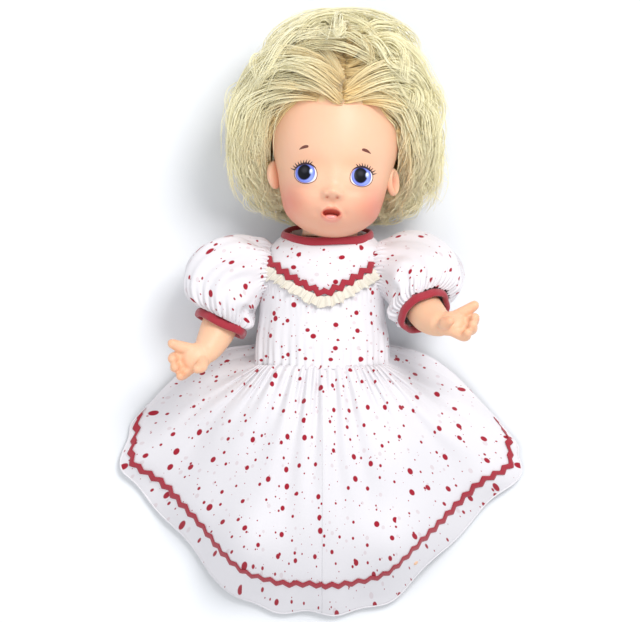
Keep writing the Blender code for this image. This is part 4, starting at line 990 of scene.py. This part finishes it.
def bodice_with_armholes(points, uv):
    """The bodice as a thin closed wall, with a round hole at each shoulder."""
    rows, cols = points.shape[:2]
    flat = points.reshape(-1, 3)
    mesh = filled_mesh("dress_bodice_cloth", flat, grid_faces(rows, cols, True))
    set_uv(mesh, uv.reshape(-1, 2))
    work = bmesh.new()
    work.from_mesh(mesh)
    gone = []
    for face in work.faces:
        middle = face.calc_center_median()
        off_y, off_z = (middle.y - ARMHOLE_Y) / ARMHOLE_RADIUS, (middle.z - ARMHOLE_Z) / ARMHOLE_RADIUS
        if abs(middle.x) > ARMHOLE_FROM_X and off_y ** 2 + off_z ** 2 < 1:
            gone.append(face)
    bmesh.ops.delete(work, geom=gone, context="FACES")
    work.to_mesh(mesh)
    work.free()
    return turned_out(closed_shell(mesh, WALL))


# ---------------------------------------------------------------- sleeves

SLEEVE_RINGS = [((-15.5, -3.5), 12.0, 11.0, 0), ((-8.5, -2.0), 16.5, 15.0, 0),
                ((-3.5, -2.5), 19.5, 17.0, 4), ((4, -4), 25.0, 21.0, 14), ((11.5, -7), 27.0, 24.0, 28),
                ((18.5, -13), 28.0, 25.0, 45), ((21.5, -21), 27.0, 24.0, 58), ((21, -29), 23.5, 21.0, 65),
                ((19.5, -33.5), 17.4, 17.4, 64)]


def arm_turn(label):
    """Position of a shoulder and the turn its arm rests at."""
    middle, side, lift = SHOULDERS[label]
    c, s = math.cos(-lift), math.sin(-lift)
    return middle, side, np.array([[1, 0, 0], [0, c, -s], [0, s, c]])


def smooth_table(rows, count):
    """A table of numbers run smoothly through more rows."""
    rows = np.asarray(rows, float)
    place = np.linspace(0, len(rows) - 1, count)
    low = np.clip(place.astype(int), 0, len(rows) - 2)
    t = (place - low)[:, None]
    before, after = np.clip(low - 1, 0, None), np.clip(low + 2, None, len(rows) - 1)
    p0, p1, p2, p3 = rows[before], rows[low], rows[low + 1], rows[after]
    return (0.5
            * (2 * p1 + (p2 - p0) * t + (2 * p0 - 5 * p1 + 4 * p2 - p3) * t * t
               + (3 * p1 - p0 - 3 * p2 + p3) * t ** 3))


class DOLL_OT_sleeves(Operator):
    """Two puffed sleeves gathered at the shoulder and at the cuff, with their bound cuffs"""
    bl_idname, bl_label = "doll.sleeves", "Sleeves"

    def execute(self, context):
        look = context.scene.doll_dress
        cloth, red = dotted_material(), plain_cloth("red_binding", look.dots, 0.7)
        for label in SHOULDERS:
            self.sleeve(label, cloth)
            self.cuff(label, red)
        return {"FINISHED"}

    def sleeve(self, label, cloth):
        middle, side, turn = arm_turn(label)
        rows, cols = 84, 270
        table = smooth_table([(m[0], m[1], w, d, a) for m, w, d, a in SLEEVE_RINGS], rows)
        share = np.linspace(0, 1, rows)[:, None]
        angle = np.linspace(0, 2 * math.pi, cols, endpoint=False)[None]
        cx, cy, wide, deep, lean = (table[:, i][:, None] for i in range(5))
        seed = 5 if side > 0 else 6
        top, low = smooth_step(share, 0.30, 0.0), smooth_step(share, 0.66, 1.0)
        pleat = (np.sin(angle * 38 + 1.6 * np.sin(angle * 3 + seed))
                 * (1.3 * top + 1.5 * low * (1 - 0.5 * smooth_step(share, 0.9, 1))))
        folds = (soft_noise(angle * 5.0 + share * 2, share * 7, seed) * 2.6
                 * np.sin(math.pi * np.clip(share, 0, 1)) ** 0.7)
        long_folds = soft_noise(angle * 11, share * 1.6, seed + 9) * 1.6 * smooth_step(share, 0.2, 0.5)
        grow = pleat + folds + long_folds
        wide, deep = wide + grow, deep + grow
        lean = np.radians(lean)
        along_x, along_y = np.sin(lean), np.cos(lean)
        x = np.maximum(cx + np.cos(angle) * wide * along_x, -16.0 + 0.5 * grow * top)
        y = cy + np.cos(angle) * wide * along_y
        z = np.sin(angle) * deep + 0 * x
        local = np.stack([x * side, y, z], -1) * MM
        world = local @ turn.T + middle
        world[..., 2] = np.maximum(world[..., 2], 0.9 * MM + 0.3 * MM * np.sin(angle * 9))
        uv = np.stack([angle * 0.024 + 0 * share + seed * 0.2, share * 0.055 + 0 * angle], -1)
        obj = cloth_piece(f"{label}_sleeve_cloth", world, uv, cloth, wrap=True)
        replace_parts(obj, f"{label}_sleeve")
        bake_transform(obj)

    def cuff(self, label, red):
        middle, side, turn = arm_turn(label)
        axis = np.array([5.2 * side, -10.8, 0.6])
        axis /= np.linalg.norm(axis)
        a = np.cross(axis, [0, 0, 1.0])
        a /= np.linalg.norm(a)
        b = np.cross(axis, a)
        rows, cols = 96, 22
        round_arm, section = np.meshgrid(np.linspace(0, 2 * math.pi, rows, endpoint=False),
                                         np.linspace(0, 2 * math.pi, cols, endpoint=False), indexing="ij")
        ripple = 0.35 * np.sin(round_arm * 5 + 1) + 0.25 * np.sin(round_arm * 9)
        reach = 16.0 + ripple + 1.7 * np.cos(section)
        along = 2.9 * np.sign(np.sin(section)) * np.abs(np.sin(section)) ** 0.7 + 0.5 * np.sin(round_arm * 3)
        centre = np.array([20.0 * side, -37.0, 0.0])
        local = (centre + reach[..., None]
                 * (np.cos(round_arm)[..., None] * a + np.sin(round_arm)[..., None] * b)
                 + along[..., None] * axis) * MM
        world = local @ turn.T + middle
        world[..., 2] = np.maximum(world[..., 2], 0.5 * MM)
        mesh = round_ring(f"{label}_cuff_band", world)
        obj = put(f"{label}_cuff_band", mesh, red, f"{label}_arm")
        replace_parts(obj, f"{label}_cuff")


def round_ring(name, grid):
    """A closed ring from a grid that wraps both ways."""
    rows, cols = grid.shape[:2]
    r, c = np.meshgrid(np.arange(rows), np.arange(cols), indexing="ij")
    down, right = (r + 1) % rows, (c + 1) % cols
    faces = np.stack([r * cols + c, r * cols + right,
                      down * cols + right, down * cols + c], -1).reshape(-1, 4)
    return turned_out(filled_mesh(name, grid.reshape(-1, 3), faces))


# ---------------------------------------------------------------- skirt

# place round the hem in degrees, x and y in millimetres
HEM_LINE = [(-100, -113, -58), (-90, -123, -70), (-80, -130, -88), (-70, -131, -105), (-58, -112, -121),
            (-45, -93, -144), (-33, -74, -167), (-22, -53, -188), (-12, -30, -194), (0, 0, -196),
            (12, 29, -194), (22, 50, -184), (33, 74, -159), (45, 95, -137), (58, 115, -119),
            (70, 132, -102), (80, 128, -88), (90, 121, -76), (100, 109, -64)]
FRONT_END = 100  # how far round from its middle the skirt's front reaches, in degrees
BRAID_END = 93
HEM_STEPS, HEM_SIDES, HEM_RADIUS = 420, 8, 0.75 * MM


def hem_point(angle):
    """Where the hem lies, in millimetres, for places round it in degrees, with its corners rounded off."""
    table = np.array(HEM_LINE, float)
    spread = np.linspace(-6, 6, 9)
    weight = np.exp(-(spread / 3.6) ** 2)
    weight /= weight.sum()
    x = sum(w * np.interp(angle + d, table[:, 0], table[:, 1]) for w, d in zip(weight, spread))
    y = sum(w * np.interp(angle + d, table[:, 0], table[:, 2]) for w, d in zip(weight, spread))
    return x, y


def skirt_folds(angle, t):
    """Height of the gathers and folds in millimetres: fine at the waist, fewer and wider towards the hem."""
    fine = np.sin(np.radians(angle) * 54 + 2.2 * np.sin(np.radians(angle) * 7 + 1))
    middle = np.sin(np.radians(angle) * 27 + 1.7 * np.sin(np.radians(angle) * 5) + 0.8 * np.sin(t * 5))
    wide = np.sin(np.radians(angle) * 13.5 + 1.3 * np.sin(np.radians(angle) * 3 + 2) + 1.1 * t)
    sides = 1 - 0.45 * smooth_step(np.abs(angle), 60, 95)
    z = (1.15 * fine * smooth_step(t, 0.34, 0.02)
         + 1.25 * middle * smooth_step(t, 0.0, 0.14) * smooth_step(t, 0.80, 0.28))
    z += (1.9 * wide * smooth_step(t, 0.12, 0.6) * sides
          + 0.9 * soft_noise(angle * 0.14, t * 9, 31) * smooth_step(t, 0.1, 0.5))
    return z


def skirt_point(angle, t, lift=0.0):
    """A point of the skirt's front in metres: angle in degrees from the middle, t from waist to hem."""
    a = np.radians(np.clip(angle, -90, 90))
    side, middle = np.sin(a), np.cos(a)
    back = smooth_step(np.abs(angle), 80, 100)
    wx = 42.6 * side * (1 + 0.02 * back)
    wy = -33.2 + 13 * back + 0 * t
    hx, hy = hem_point(angle)
    ripple = (1.6 * np.sin(np.radians(angle) * 19 + 1.5 * np.sin(np.radians(angle) * 4))
              * smooth_step(t, 0.8, 1.0))
    length = np.hypot(hx - wx, hy - wy)
    x = wx + (hx - wx) * t + (hx - wx) / length * ripple
    y = (wy + (hy - wy) * t + (hy - wy) / length * ripple
         + 11 * np.sin(math.pi * t) * smooth_step(np.abs(angle), 62, 100))
    rise = TORSO_Z * 1000 + 2 + 32 * np.maximum(middle, 0) ** 0.7 - 18 * back
    z = 3.4 + (rise - 3.4) * (1 - t ** (0.5 + 1.9 * middle))
    z += (12 * np.exp(-((np.abs(x) - 47) / 26) ** 2 - ((y + 150) / 26) ** 2)
          + 7 * t * middle * smooth_step(1.06 - t, 0, 0.25))
    z += skirt_folds(angle, t) * (0.35 + 0.65 * smooth_step(z, 3, 14)) + lift
    tucked = smooth_step(t, 0.030, 0.0)
    x, y, z = x * (1 - 0.03 * tucked), y + 0.8 * tucked, z - 4.0 * tucked * np.maximum(middle, 0.1) ** 0.5
    return np.stack([x, y, np.maximum(z, 2.6 + 0.9 * np.sin(np.radians(angle) * 23) + lift)], -1) * MM


def blend_by(obj):
    """The piece's placement baked into its points."""
    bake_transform(obj)


class DOLL_OT_skirt(Operator):
    """Gathered skirt: a front in two halves shaped over the legs, and the back it lies on"""
    bl_idname, bl_label = "doll.skirt", "Skirt"

    def execute(self, context):
        cloth = dotted_material()
        rows, cols = 116, 280
        for label, low, high in (("left", 0, FRONT_END), ("right", -FRONT_END, 0)):
            t, angle = np.meshgrid(np.linspace(0, 1, rows) ** 0.92, np.linspace(low, high, cols),
                                   indexing="ij")
            points = skirt_point(angle, t)
            uv = np.stack([points[..., 0] * (1.35 - 0.35 * t), points[..., 1] - 0.4 * points[..., 2]], -1)
            obj = cloth_piece(f"skirt_front_{label}", points, uv, cloth)
            if label == "left":
                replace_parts(obj, "skirt_front")
            blend_by(obj)
            hem = self.hem(label, low, high)
        self.back(cloth)
        return {"FINISHED"}

    def hem(self, label, low, high):
        """The rolled hem: a thin round edge along the cloth."""
        white = bpy.data.materials.get("white_hem") or plain_cloth("white_hem",
                                                                   bpy.context.scene.doll_dress.cloth)
        angle = np.linspace(low, high, HEM_STEPS)
        spine = skirt_point(angle, np.ones(HEM_STEPS))
        corner = np.linspace(0, 2 * math.pi, HEM_SIDES, endpoint=False)
        ring = spine[:, None] + HEM_RADIUS * (np.cos(corner)[None, :, None] * np.array([0, 0, 1.0])
                                            + np.sin(corner)[None, :, None] * outward(spine)[:, None])
        mesh = filled_mesh(f"skirt_hem_{label}", ring.reshape(-1, 3), grid_faces(HEM_STEPS, HEM_SIDES, True))
        close_ends(mesh)
        obj = put(f"skirt_hem_{label}", mesh, white)
        blend_by(obj)
        return obj

    def back(self, cloth):
        rows, cols = 60, 240
        t, angle = np.meshgrid(np.linspace(0, 1, rows), np.linspace(-FRONT_END, FRONT_END, cols),
                               indexing="ij")
        hx, hy = hem_point(angle)
        side = np.sin(np.radians(np.clip(angle, -90, 90)))
        x, y = 41 * side + (hx * 0.985 - 41 * side) * t, -33 + (hy * 0.985 + 33) * t
        y += 9 * np.sin(math.pi * t) * smooth_step(np.abs(angle), 62, 100)
        z = (0.9 + 3.5 * smooth_step(t, 0.25, 0.0)
             + 0.35 * np.sin(np.radians(angle) * 20) * smooth_step(t, 1, 0.5))
        points = np.stack([x, y, z], -1) * MM
        obj = cloth_piece("skirt_back_cloth", points, points[..., :2] + np.array([0.51, 0.23]), cloth,
                          "torso", thickness=0.4 * MM)
        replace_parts(obj, "skirt_back")


def outward(spine):
    """Unit vectors to the side of a line, level with the floor."""
    along = np.gradient(spine, axis=0)
    side = np.stack([along[:, 1], -along[:, 0], 0 * along[:, 0]], -1)
    return side / np.maximum(np.linalg.norm(side, axis=1, keepdims=True), 1e-9)


# ---------------------------------------------------------------- trims

def zigzag(share):
    """A zigzag between -1 and 1 with slightly rounded points."""
    return 0.86 * (2 / math.pi) * np.arcsin(0.985 * np.sin(2 * math.pi * share))


def woven_strip(name, top, low, material, body=None):
    points, faces = ribbon_points(top, low)
    return put(name, turned_out(filled_mesh(name, points, faces)), material, body)


class DOLL_OT_trims(Operator):
    """Collar binding, zigzag braid on the yoke and the hem, and the lace ruffle of the yoke"""
    bl_idname, bl_label = "doll.trims", "Trims"

    def execute(self, context):
        look = context.scene.doll_dress
        red = bpy.data.materials.get("red_binding") or plain_cloth("red_binding", look.dots, 0.7)
        braid = plain_cloth("zigzag_braid", look.dots, 0.75)
        self.collar(red)
        self.hem_braid(look, braid)
        self.yoke_braid(look, braid)
        self.ruffle(look)
        return {"FINISHED"}

    def collar(self, red):
        rows, cols = 160, 20
        a, s = np.meshgrid(np.linspace(0, 2 * math.pi, rows, endpoint=False),
                           np.linspace(0, 2 * math.pi, cols, endpoint=False), indexing="ij")
        wide = 1.0 + 0.12 * np.sin(a * 3 + 1)
        reach = np.cos(s) * 1.3 * wide - 0.22 * np.sin(s) * 2.6
        x = 3.4 + (28.4 + reach) * np.sin(a)
        z = 36 + (25.6 + reach) * np.cos(a)
        y = (51.0 - COLLAR_LEAN * (z - 36) + 2.5 * np.sign(np.sin(s)) * np.abs(np.sin(s)) ** 0.8
             + 0.4 * np.sin(a * 5 + 0.5))
        mesh = round_ring("collar_band", np.stack([x, y, z], -1) * MM)
        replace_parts(put("collar_band", mesh, red, "torso"), "collar_binding")

    def hem_braid(self, look, braid):
        for label, low, high in (("left", 0, BRAID_END), ("right", -BRAID_END, 0)):
            angle = np.linspace(low, high, 900)
            t = 0.872 + 0.05 * smooth_step(np.abs(angle), 55, 72) + 0.03 * smooth_step(np.abs(angle), 72, 92)
            line = skirt_point(angle, t)
            run = np.concatenate([[0], np.cumsum(np.linalg.norm(np.diff(line, axis=0), axis=1))])
            length = np.linalg.norm(skirt_point(angle, t + 0.01) - skirt_point(angle, t - 0.01),
                                    axis=1) / 0.02
            steps = np.linspace(-0.5, 0.5, 7)
            offset = (zigzag(run / look.braid_pitch) * 1.9 * MM)[:, None] + steps * look.braid_width
            where = t[:, None] + offset / length[:, None]
            round_at = np.repeat(angle[:, None], 7, 1)
            top = skirt_point(round_at, where, 1.25)
            top[..., 2] += 0.35 * MM * (1 - (2 * np.abs(steps)) ** 4)
            low_side = skirt_point(round_at, where, 0.35)
            obj = woven_strip(f"hem_braid_{label}", top, low_side, braid)
            if label == "left":
                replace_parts(obj, "hem_rickrack")
            blend_by(obj)

    def yoke_braid(self, look, braid):
        x = np.linspace(-0.0405, 0.0375, 700)
        y = new_yoke(x)
        run = np.concatenate([[0], np.cumsum(np.hypot(np.diff(x), np.diff(y)))])
        steps = np.linspace(-0.5, 0.5, 7)
        slope = np.gradient(y, x)
        nx, ny = -slope / np.hypot(1, slope), 1 / np.hypot(1, slope)
        offset = ((zigzag(run / (look.braid_pitch * 0.80)) * 1.7 * MM)[:, None]
                  + steps * look.braid_width * 0.85)
        px, py = x[:, None] + nx[:, None] * offset, y[:, None] + ny[:, None] * offset
        fold = 0.5 * MM * soft_noise(px * 300, py * 300, 8)
        top = on_bodice(px, py, 2.1 * MM + fold + 0.3 * MM * (1 - (2 * np.abs(steps)) ** 4))
        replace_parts(woven_strip("yoke_braid", top, on_bodice(px, py, 0.7 * MM + fold), braid, "torso"),
                    "yoke_rickrack")

    def ruffle(self, look):
        lace = plain_cloth("cream_lace", look.lace, 0.9)
        cols, rows = 1100, 16
        x = np.linspace(-0.0465, 0.0455, cols)
        y = new_yoke(x) - 2.4 * MM
        slope = np.gradient(y, x)
        nx, ny = slope / np.hypot(1, slope), -1 / np.hypot(1, slope)
        run = np.concatenate([[0], np.cumsum(np.hypot(np.diff(x), np.diff(y)))]) / MM
        s = np.linspace(0, 1, rows)[:, None]
        width = 6.6 + 4.2 * smooth_step(np.abs(x), 0.026, 0.043) + 0.9 * soft_noise(run * 0.25, 0 * run, 14)
        scallop = 0.55 * np.abs(np.sin(run * 1.9))
        reach = s * (width + scallop) * (1 + 0.10 * np.sin(run * 0.95 + 2 * np.sin(run * 0.21)))
        wave = np.sin(run * 1.15 + 1.8 * np.sin(run * 0.23) + 0.9 * s) + 0.4 * np.sin(run * 2.7 + s * 2)
        shift = 1.0 * s * np.cos(run * 1.15 + 1.8 * np.sin(run * 0.23))
        px = x + (nx * reach + shift * ny * -1) * MM
        py = y + (ny * reach + shift * nx) * MM
        lift = 1.4 + s * 1.7 + wave * 1.25 * (0.25 + s) + 3.2 * s * smooth_step(np.abs(x), 0.028, 0.043)
        points = on_bodice(px, py, lift * MM)
        points[..., 2] = np.maximum(points[..., 2], (TORSO_Z + 4 * MM) + 0 * points[..., 2])
        obj = cloth_piece("yoke_ruffle_lace", points, np.stack([run + 0 * s, s * 9 + 0 * run], -1) * MM,
                          lace, "torso",
                          thickness=0.45 * MM)
        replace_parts(obj, "yoke_ruffle")


def new_yoke(x):
    """How high the yoke's zigzag braid runs across the front."""
    return 0.0135 + 0.025 * (np.abs(x - 0.001) / 0.040) ** 1.35


def on_bodice(x, y, lift):
    """Points on the bodice's front lifted off its surface."""
    inside = np.clip(bodice_radius(y) ** 2 - x ** 2, (0.006) ** 2, None)
    z = TORSO_Z + TORSO_FLAT * np.sqrt(inside)
    steep = np.clip(np.abs(x) / bodice_radius(y), 0, 0.93)
    return np.stack([x + np.sign(x) * lift * steep * 0.7, y + 0 * z, z + lift * (1 - 0.35 * steep)], -1)


# ---------------------------------------------------------------- limbs

ARM_LINE = [((0, 0, 0), 12.2), ((5.5, -8, 0), 11.7), ((12.5, -20, -1), 11.5), ((18, -31, -1), 11.9),
            ((22, -41, 2), 11.5),
            ((25.5, -48.5, 6), 10.1), ((28.5, -54, 10), 8.6)]
PALM = ((34.5, -58.5, 15), (10.5, 9.0, 6.0))
FINGERS = [((38, -54, 16), (44.5, -52.5, 19.5), (50, -50.5, 23), 3.9),
           ((41, -58, 14), (48.5, -59, 17), (50, -60, 23), 3.7),
           ((40, -62, 14), (47.5, -65, 17), (48.5, -65.5, 23), 3.6),
           ((37, -65, 15), (43.5, -70, 17), (45, -71, 22), 3.4),
           ((31, -62, 19), (31.5, -65, 24), (34, -66.5, 28), 3.9)]
LEG_LINE = [((0, 0, 0), 15.2), ((3, -12, 0), 15.8), ((7, -26, 1), 15.6), ((11, -38, 2), 14.0),
            ((13, -50, 1), 12.8),
            ((13.5, -62, -3), 12.2), ((13.5, -74, -8), 10.6), ((13.5, -84, -12), 9.4)]
FOOT = ((17.5, -93, -13), (10.5, 10.5, 12.5))
TOE_HALF, TOE_APART = (2.6, 2.8, 3.4), 3.4
ARM_VOXEL, LEG_VOXEL = 0.75 * MM, 1.2 * MM
BALL_ROWS, BALL_COLS = 16, 24


def moulded(name, balls, voxel):
    """One smooth mesh from many overlapping balls: (middle, half sizes, turn), in millimetres."""
    t, p = np.meshgrid(np.linspace(0, math.pi, BALL_ROWS)[1:-1],
                       np.linspace(0, 2 * math.pi, BALL_COLS, endpoint=False),
                       indexing="ij")
    ball = np.stack([np.sin(t) * np.cos(p), np.sin(t) * np.sin(p), np.cos(t)], -1).reshape(-1, 3)
    parts = []
    for middle, half, turn in balls:
        points = (ball * np.array(half)) @ np.array(turn.to_3x3()).T + np.array(middle)
        parts.append((points * MM, grid_faces(BALL_ROWS - 2, BALL_COLS, True)[:, ::-1]))
    mesh = filled_mesh(name, *gathered(parts))
    close_ends(mesh)
    obj = bpy.data.objects.new("moulding", mesh)
    bpy.context.scene.collection.objects.link(obj)
    solid = obj.modifiers.new("solid", "REMESH")
    solid.mode, solid.voxel_size = "VOXEL", voxel
    soft = obj.modifiers.new("soft", "SMOOTH")
    soft.factor, soft.iterations = 0.5, 7
    return applied(obj)


def balls_along(line, side, count):
    """Balls that fill a limb's line of (middle, radius)."""
    table = smooth_table([(*p, r) for p, r in line], count)
    return [((x * side, y, z), (r, r, r), Matrix.Identity(4)) for x, y, z, r in table]


class DOLL_OT_limbs(Operator):
    """Smooth soft arms with separate fingers, and legs with turned-out feet"""
    bl_idname, bl_label = "doll.limbs", "Limbs"

    def execute(self, context):
        skin = bpy.data.materials.get("soft_vinyl_skin") or skin_material()
        for label in SHOULDERS:
            middle, side, turn = arm_turn(label)
            palm = Matrix.Rotation(side * -0.45, 4, "Z") @ Matrix.Rotation(side * -0.35, 4, "Y")
            balls = balls_along(ARM_LINE, side, 46)
            balls.append(((PALM[0][0] * side, *PALM[0][1:]), PALM[1], palm))
            for base, knuckle, tip, radius in FINGERS:
                line = [(base, radius), (knuckle, radius * 1.0), (tip, radius * 0.80)]
                balls += balls_along(line, side, 18)
            mesh = moulded(f"{label}_arm_skin", balls, ARM_VOXEL)
            local = np.array([v.co for v in mesh.vertices])
            mesh.vertices.foreach_set("co", (local @ turn.T + middle).ravel())
            tips = np.zeros(len(local))
            for _, knuckle, tip, _ in FINGERS:
                far = local / MM - np.array(tip) * [side, 1, 1]
                tips = np.maximum(tips, np.exp(-(far ** 2).sum(1) / 16))
            self.finish_limb(mesh, tips, local, skin, f"{label}_arm")
            balls = balls_along(LEG_LINE, side, 50)
            balls.append(((FOOT[0][0] * side, *FOOT[0][1:]), FOOT[1], Matrix.Rotation(side * 0.60, 4, "Y")))
            for toe in range(5):
                x = FOOT[0][0] + 7.0 + (toe - 2) * TOE_APART
                balls.append(((x * side, -93.0 - 0.8 * toe, -13 + 7.0 - 1.7 * toe + 2.0), TOE_HALF,
                              Matrix.Identity(4)))
            mesh = moulded(f"{label}_leg_skin", balls, LEG_VOXEL)
            local = np.array([v.co for v in mesh.vertices])
            mesh.vertices.foreach_set("co", (local + HIPS[label]).ravel())
            self.finish_limb(mesh, np.zeros(len(local)), local, skin, f"{label}_leg")
        return {"FINISHED"}

    def finish_limb(self, mesh, tips, local, skin, body):
        base = np.array(bpy.context.scene.doll_skin.base)
        blotch = 0.5 + 0.5 * soft_noise(local[:, 0] * 140, local[:, 1] * 140 + local[:, 2] * 90, 40)
        share = np.clip(0.16 * blotch + 0.30 * tips, 0, 1)[:, None]
        set_colour(mesh, "paint", base * np.array([0.98, 1.04, 1.0]) * (1 - share)
                   + np.array([0.70, 0.26, 0.13]) * share)
        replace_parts(put(f"{body}_skin", mesh, skin, body), body)


# ---------------------------------------------------------------- stage

CAMERA_PLACE = (-0.0013, 0.0019, 1.6)
LENS, SENSOR = 137.2, 36.0
FLOOR_HALF, FLOOR_DROP = 3, 0.0003
LAMPS = (("key", (0.55, 0.75, 1.3), 0.6, 16.0), ("fill", (-0.9, -0.4, 1.2), 1.2, 3.5),
         ("front", (0.1, -0.8, 1.3), 0.9, 2.5))  # name, place, size and power


class DOLL_OT_stage(Operator):
    """Camera from straight above, a pale floor and soft studio light"""
    bl_idname, bl_label = "doll.stage", "Stage"

    def execute(self, context):
        scene = context.scene
        lens = bpy.data.cameras.new("from_above")
        lens.lens, lens.sensor_width, lens.sensor_fit = LENS, SENSOR, "HORIZONTAL"
        camera = bpy.data.objects.new("from_above", lens)
        scene.collection.objects.link(camera)
        camera.location = CAMERA_PLACE
        scene.camera = camera
        floor_look, _, _ = new_material("pale_floor", Base_Color=(0.80, 0.81, 0.83, 1), Roughness=0.95)
        corners = [(x * FLOOR_HALF, y * FLOOR_HALF, 0) for x, y in ((-1, -1), (1, -1), (1, 1), (-1, 1))]
        mesh = filled_mesh("floor", corners, [(0, 1, 2, 3)])
        floor = put("floor", mesh, floor_look, smooth=False)
        floor.location.z = -FLOOR_DROP
        for name, place, size, power in LAMPS:
            light = bpy.data.lights.new(name, "AREA")
            light.energy, light.size = power, size
            lamp = bpy.data.objects.new(name, light)
            scene.collection.objects.link(lamp)
            lamp.location = place
            lamp.rotation_euler = (Vector((0, 0, 0.03)) - Vector(place)).to_track_quat("-Z", "Y").to_euler()
        world = bpy.data.worlds.new("soft_room")
        world.use_nodes = True
        world.node_tree.nodes["Background"].inputs[0].default_value = (0.93, 0.96, 1.0, 1)
        world.node_tree.nodes["Background"].inputs[1].default_value = 0.75
        scene.world = world
        scene.view_settings.view_transform = "Standard"
        return {"FINISHED"}


# ---------------------------------------------------------------- panel and run

STEPS = (DOLL_OT_head, DOLL_OT_eyes, DOLL_OT_hair, DOLL_OT_bodice, DOLL_OT_sleeves, DOLL_OT_skirt,
         DOLL_OT_trims, DOLL_OT_limbs, DOLL_OT_stage)
GROUPS = (("doll_skin", DollSkin), ("doll_hair", DollHair), ("doll_dress", DollDress))


class DOLL_PT_panel(Panel):
    bl_label, bl_idname, bl_category = "Feeding doll", "DOLL_PT_panel", "Doll"
    bl_space_type, bl_region_type = "VIEW_3D", "UI"

    def draw(self, context):
        for name, group in GROUPS:
            box = self.layout.box()
            for field in group.__annotations__:
                box.prop(getattr(context.scene, name), field)
        for step in STEPS:
            self.layout.operator(step.bl_idname)


def register():
    for name, group in GROUPS:
        bpy.utils.register_class(group)
        setattr(bpy.types.Scene, name, PointerProperty(type=group))
    for made in (*STEPS, DOLL_PT_panel):
        bpy.utils.register_class(made)


def unregister():
    for made in (DOLL_PT_panel, *reversed(STEPS)):
        bpy.utils.unregister_class(made)
    for name, group in reversed(GROUPS):
        delattr(bpy.types.Scene, name)
        bpy.utils.unregister_class(group)


def main():
    register()
    for step in STEPS:
        area, word = step.bl_idname.split(".")
        getattr(getattr(bpy.ops, area), word)()


if __name__ == "__main__":
    main()
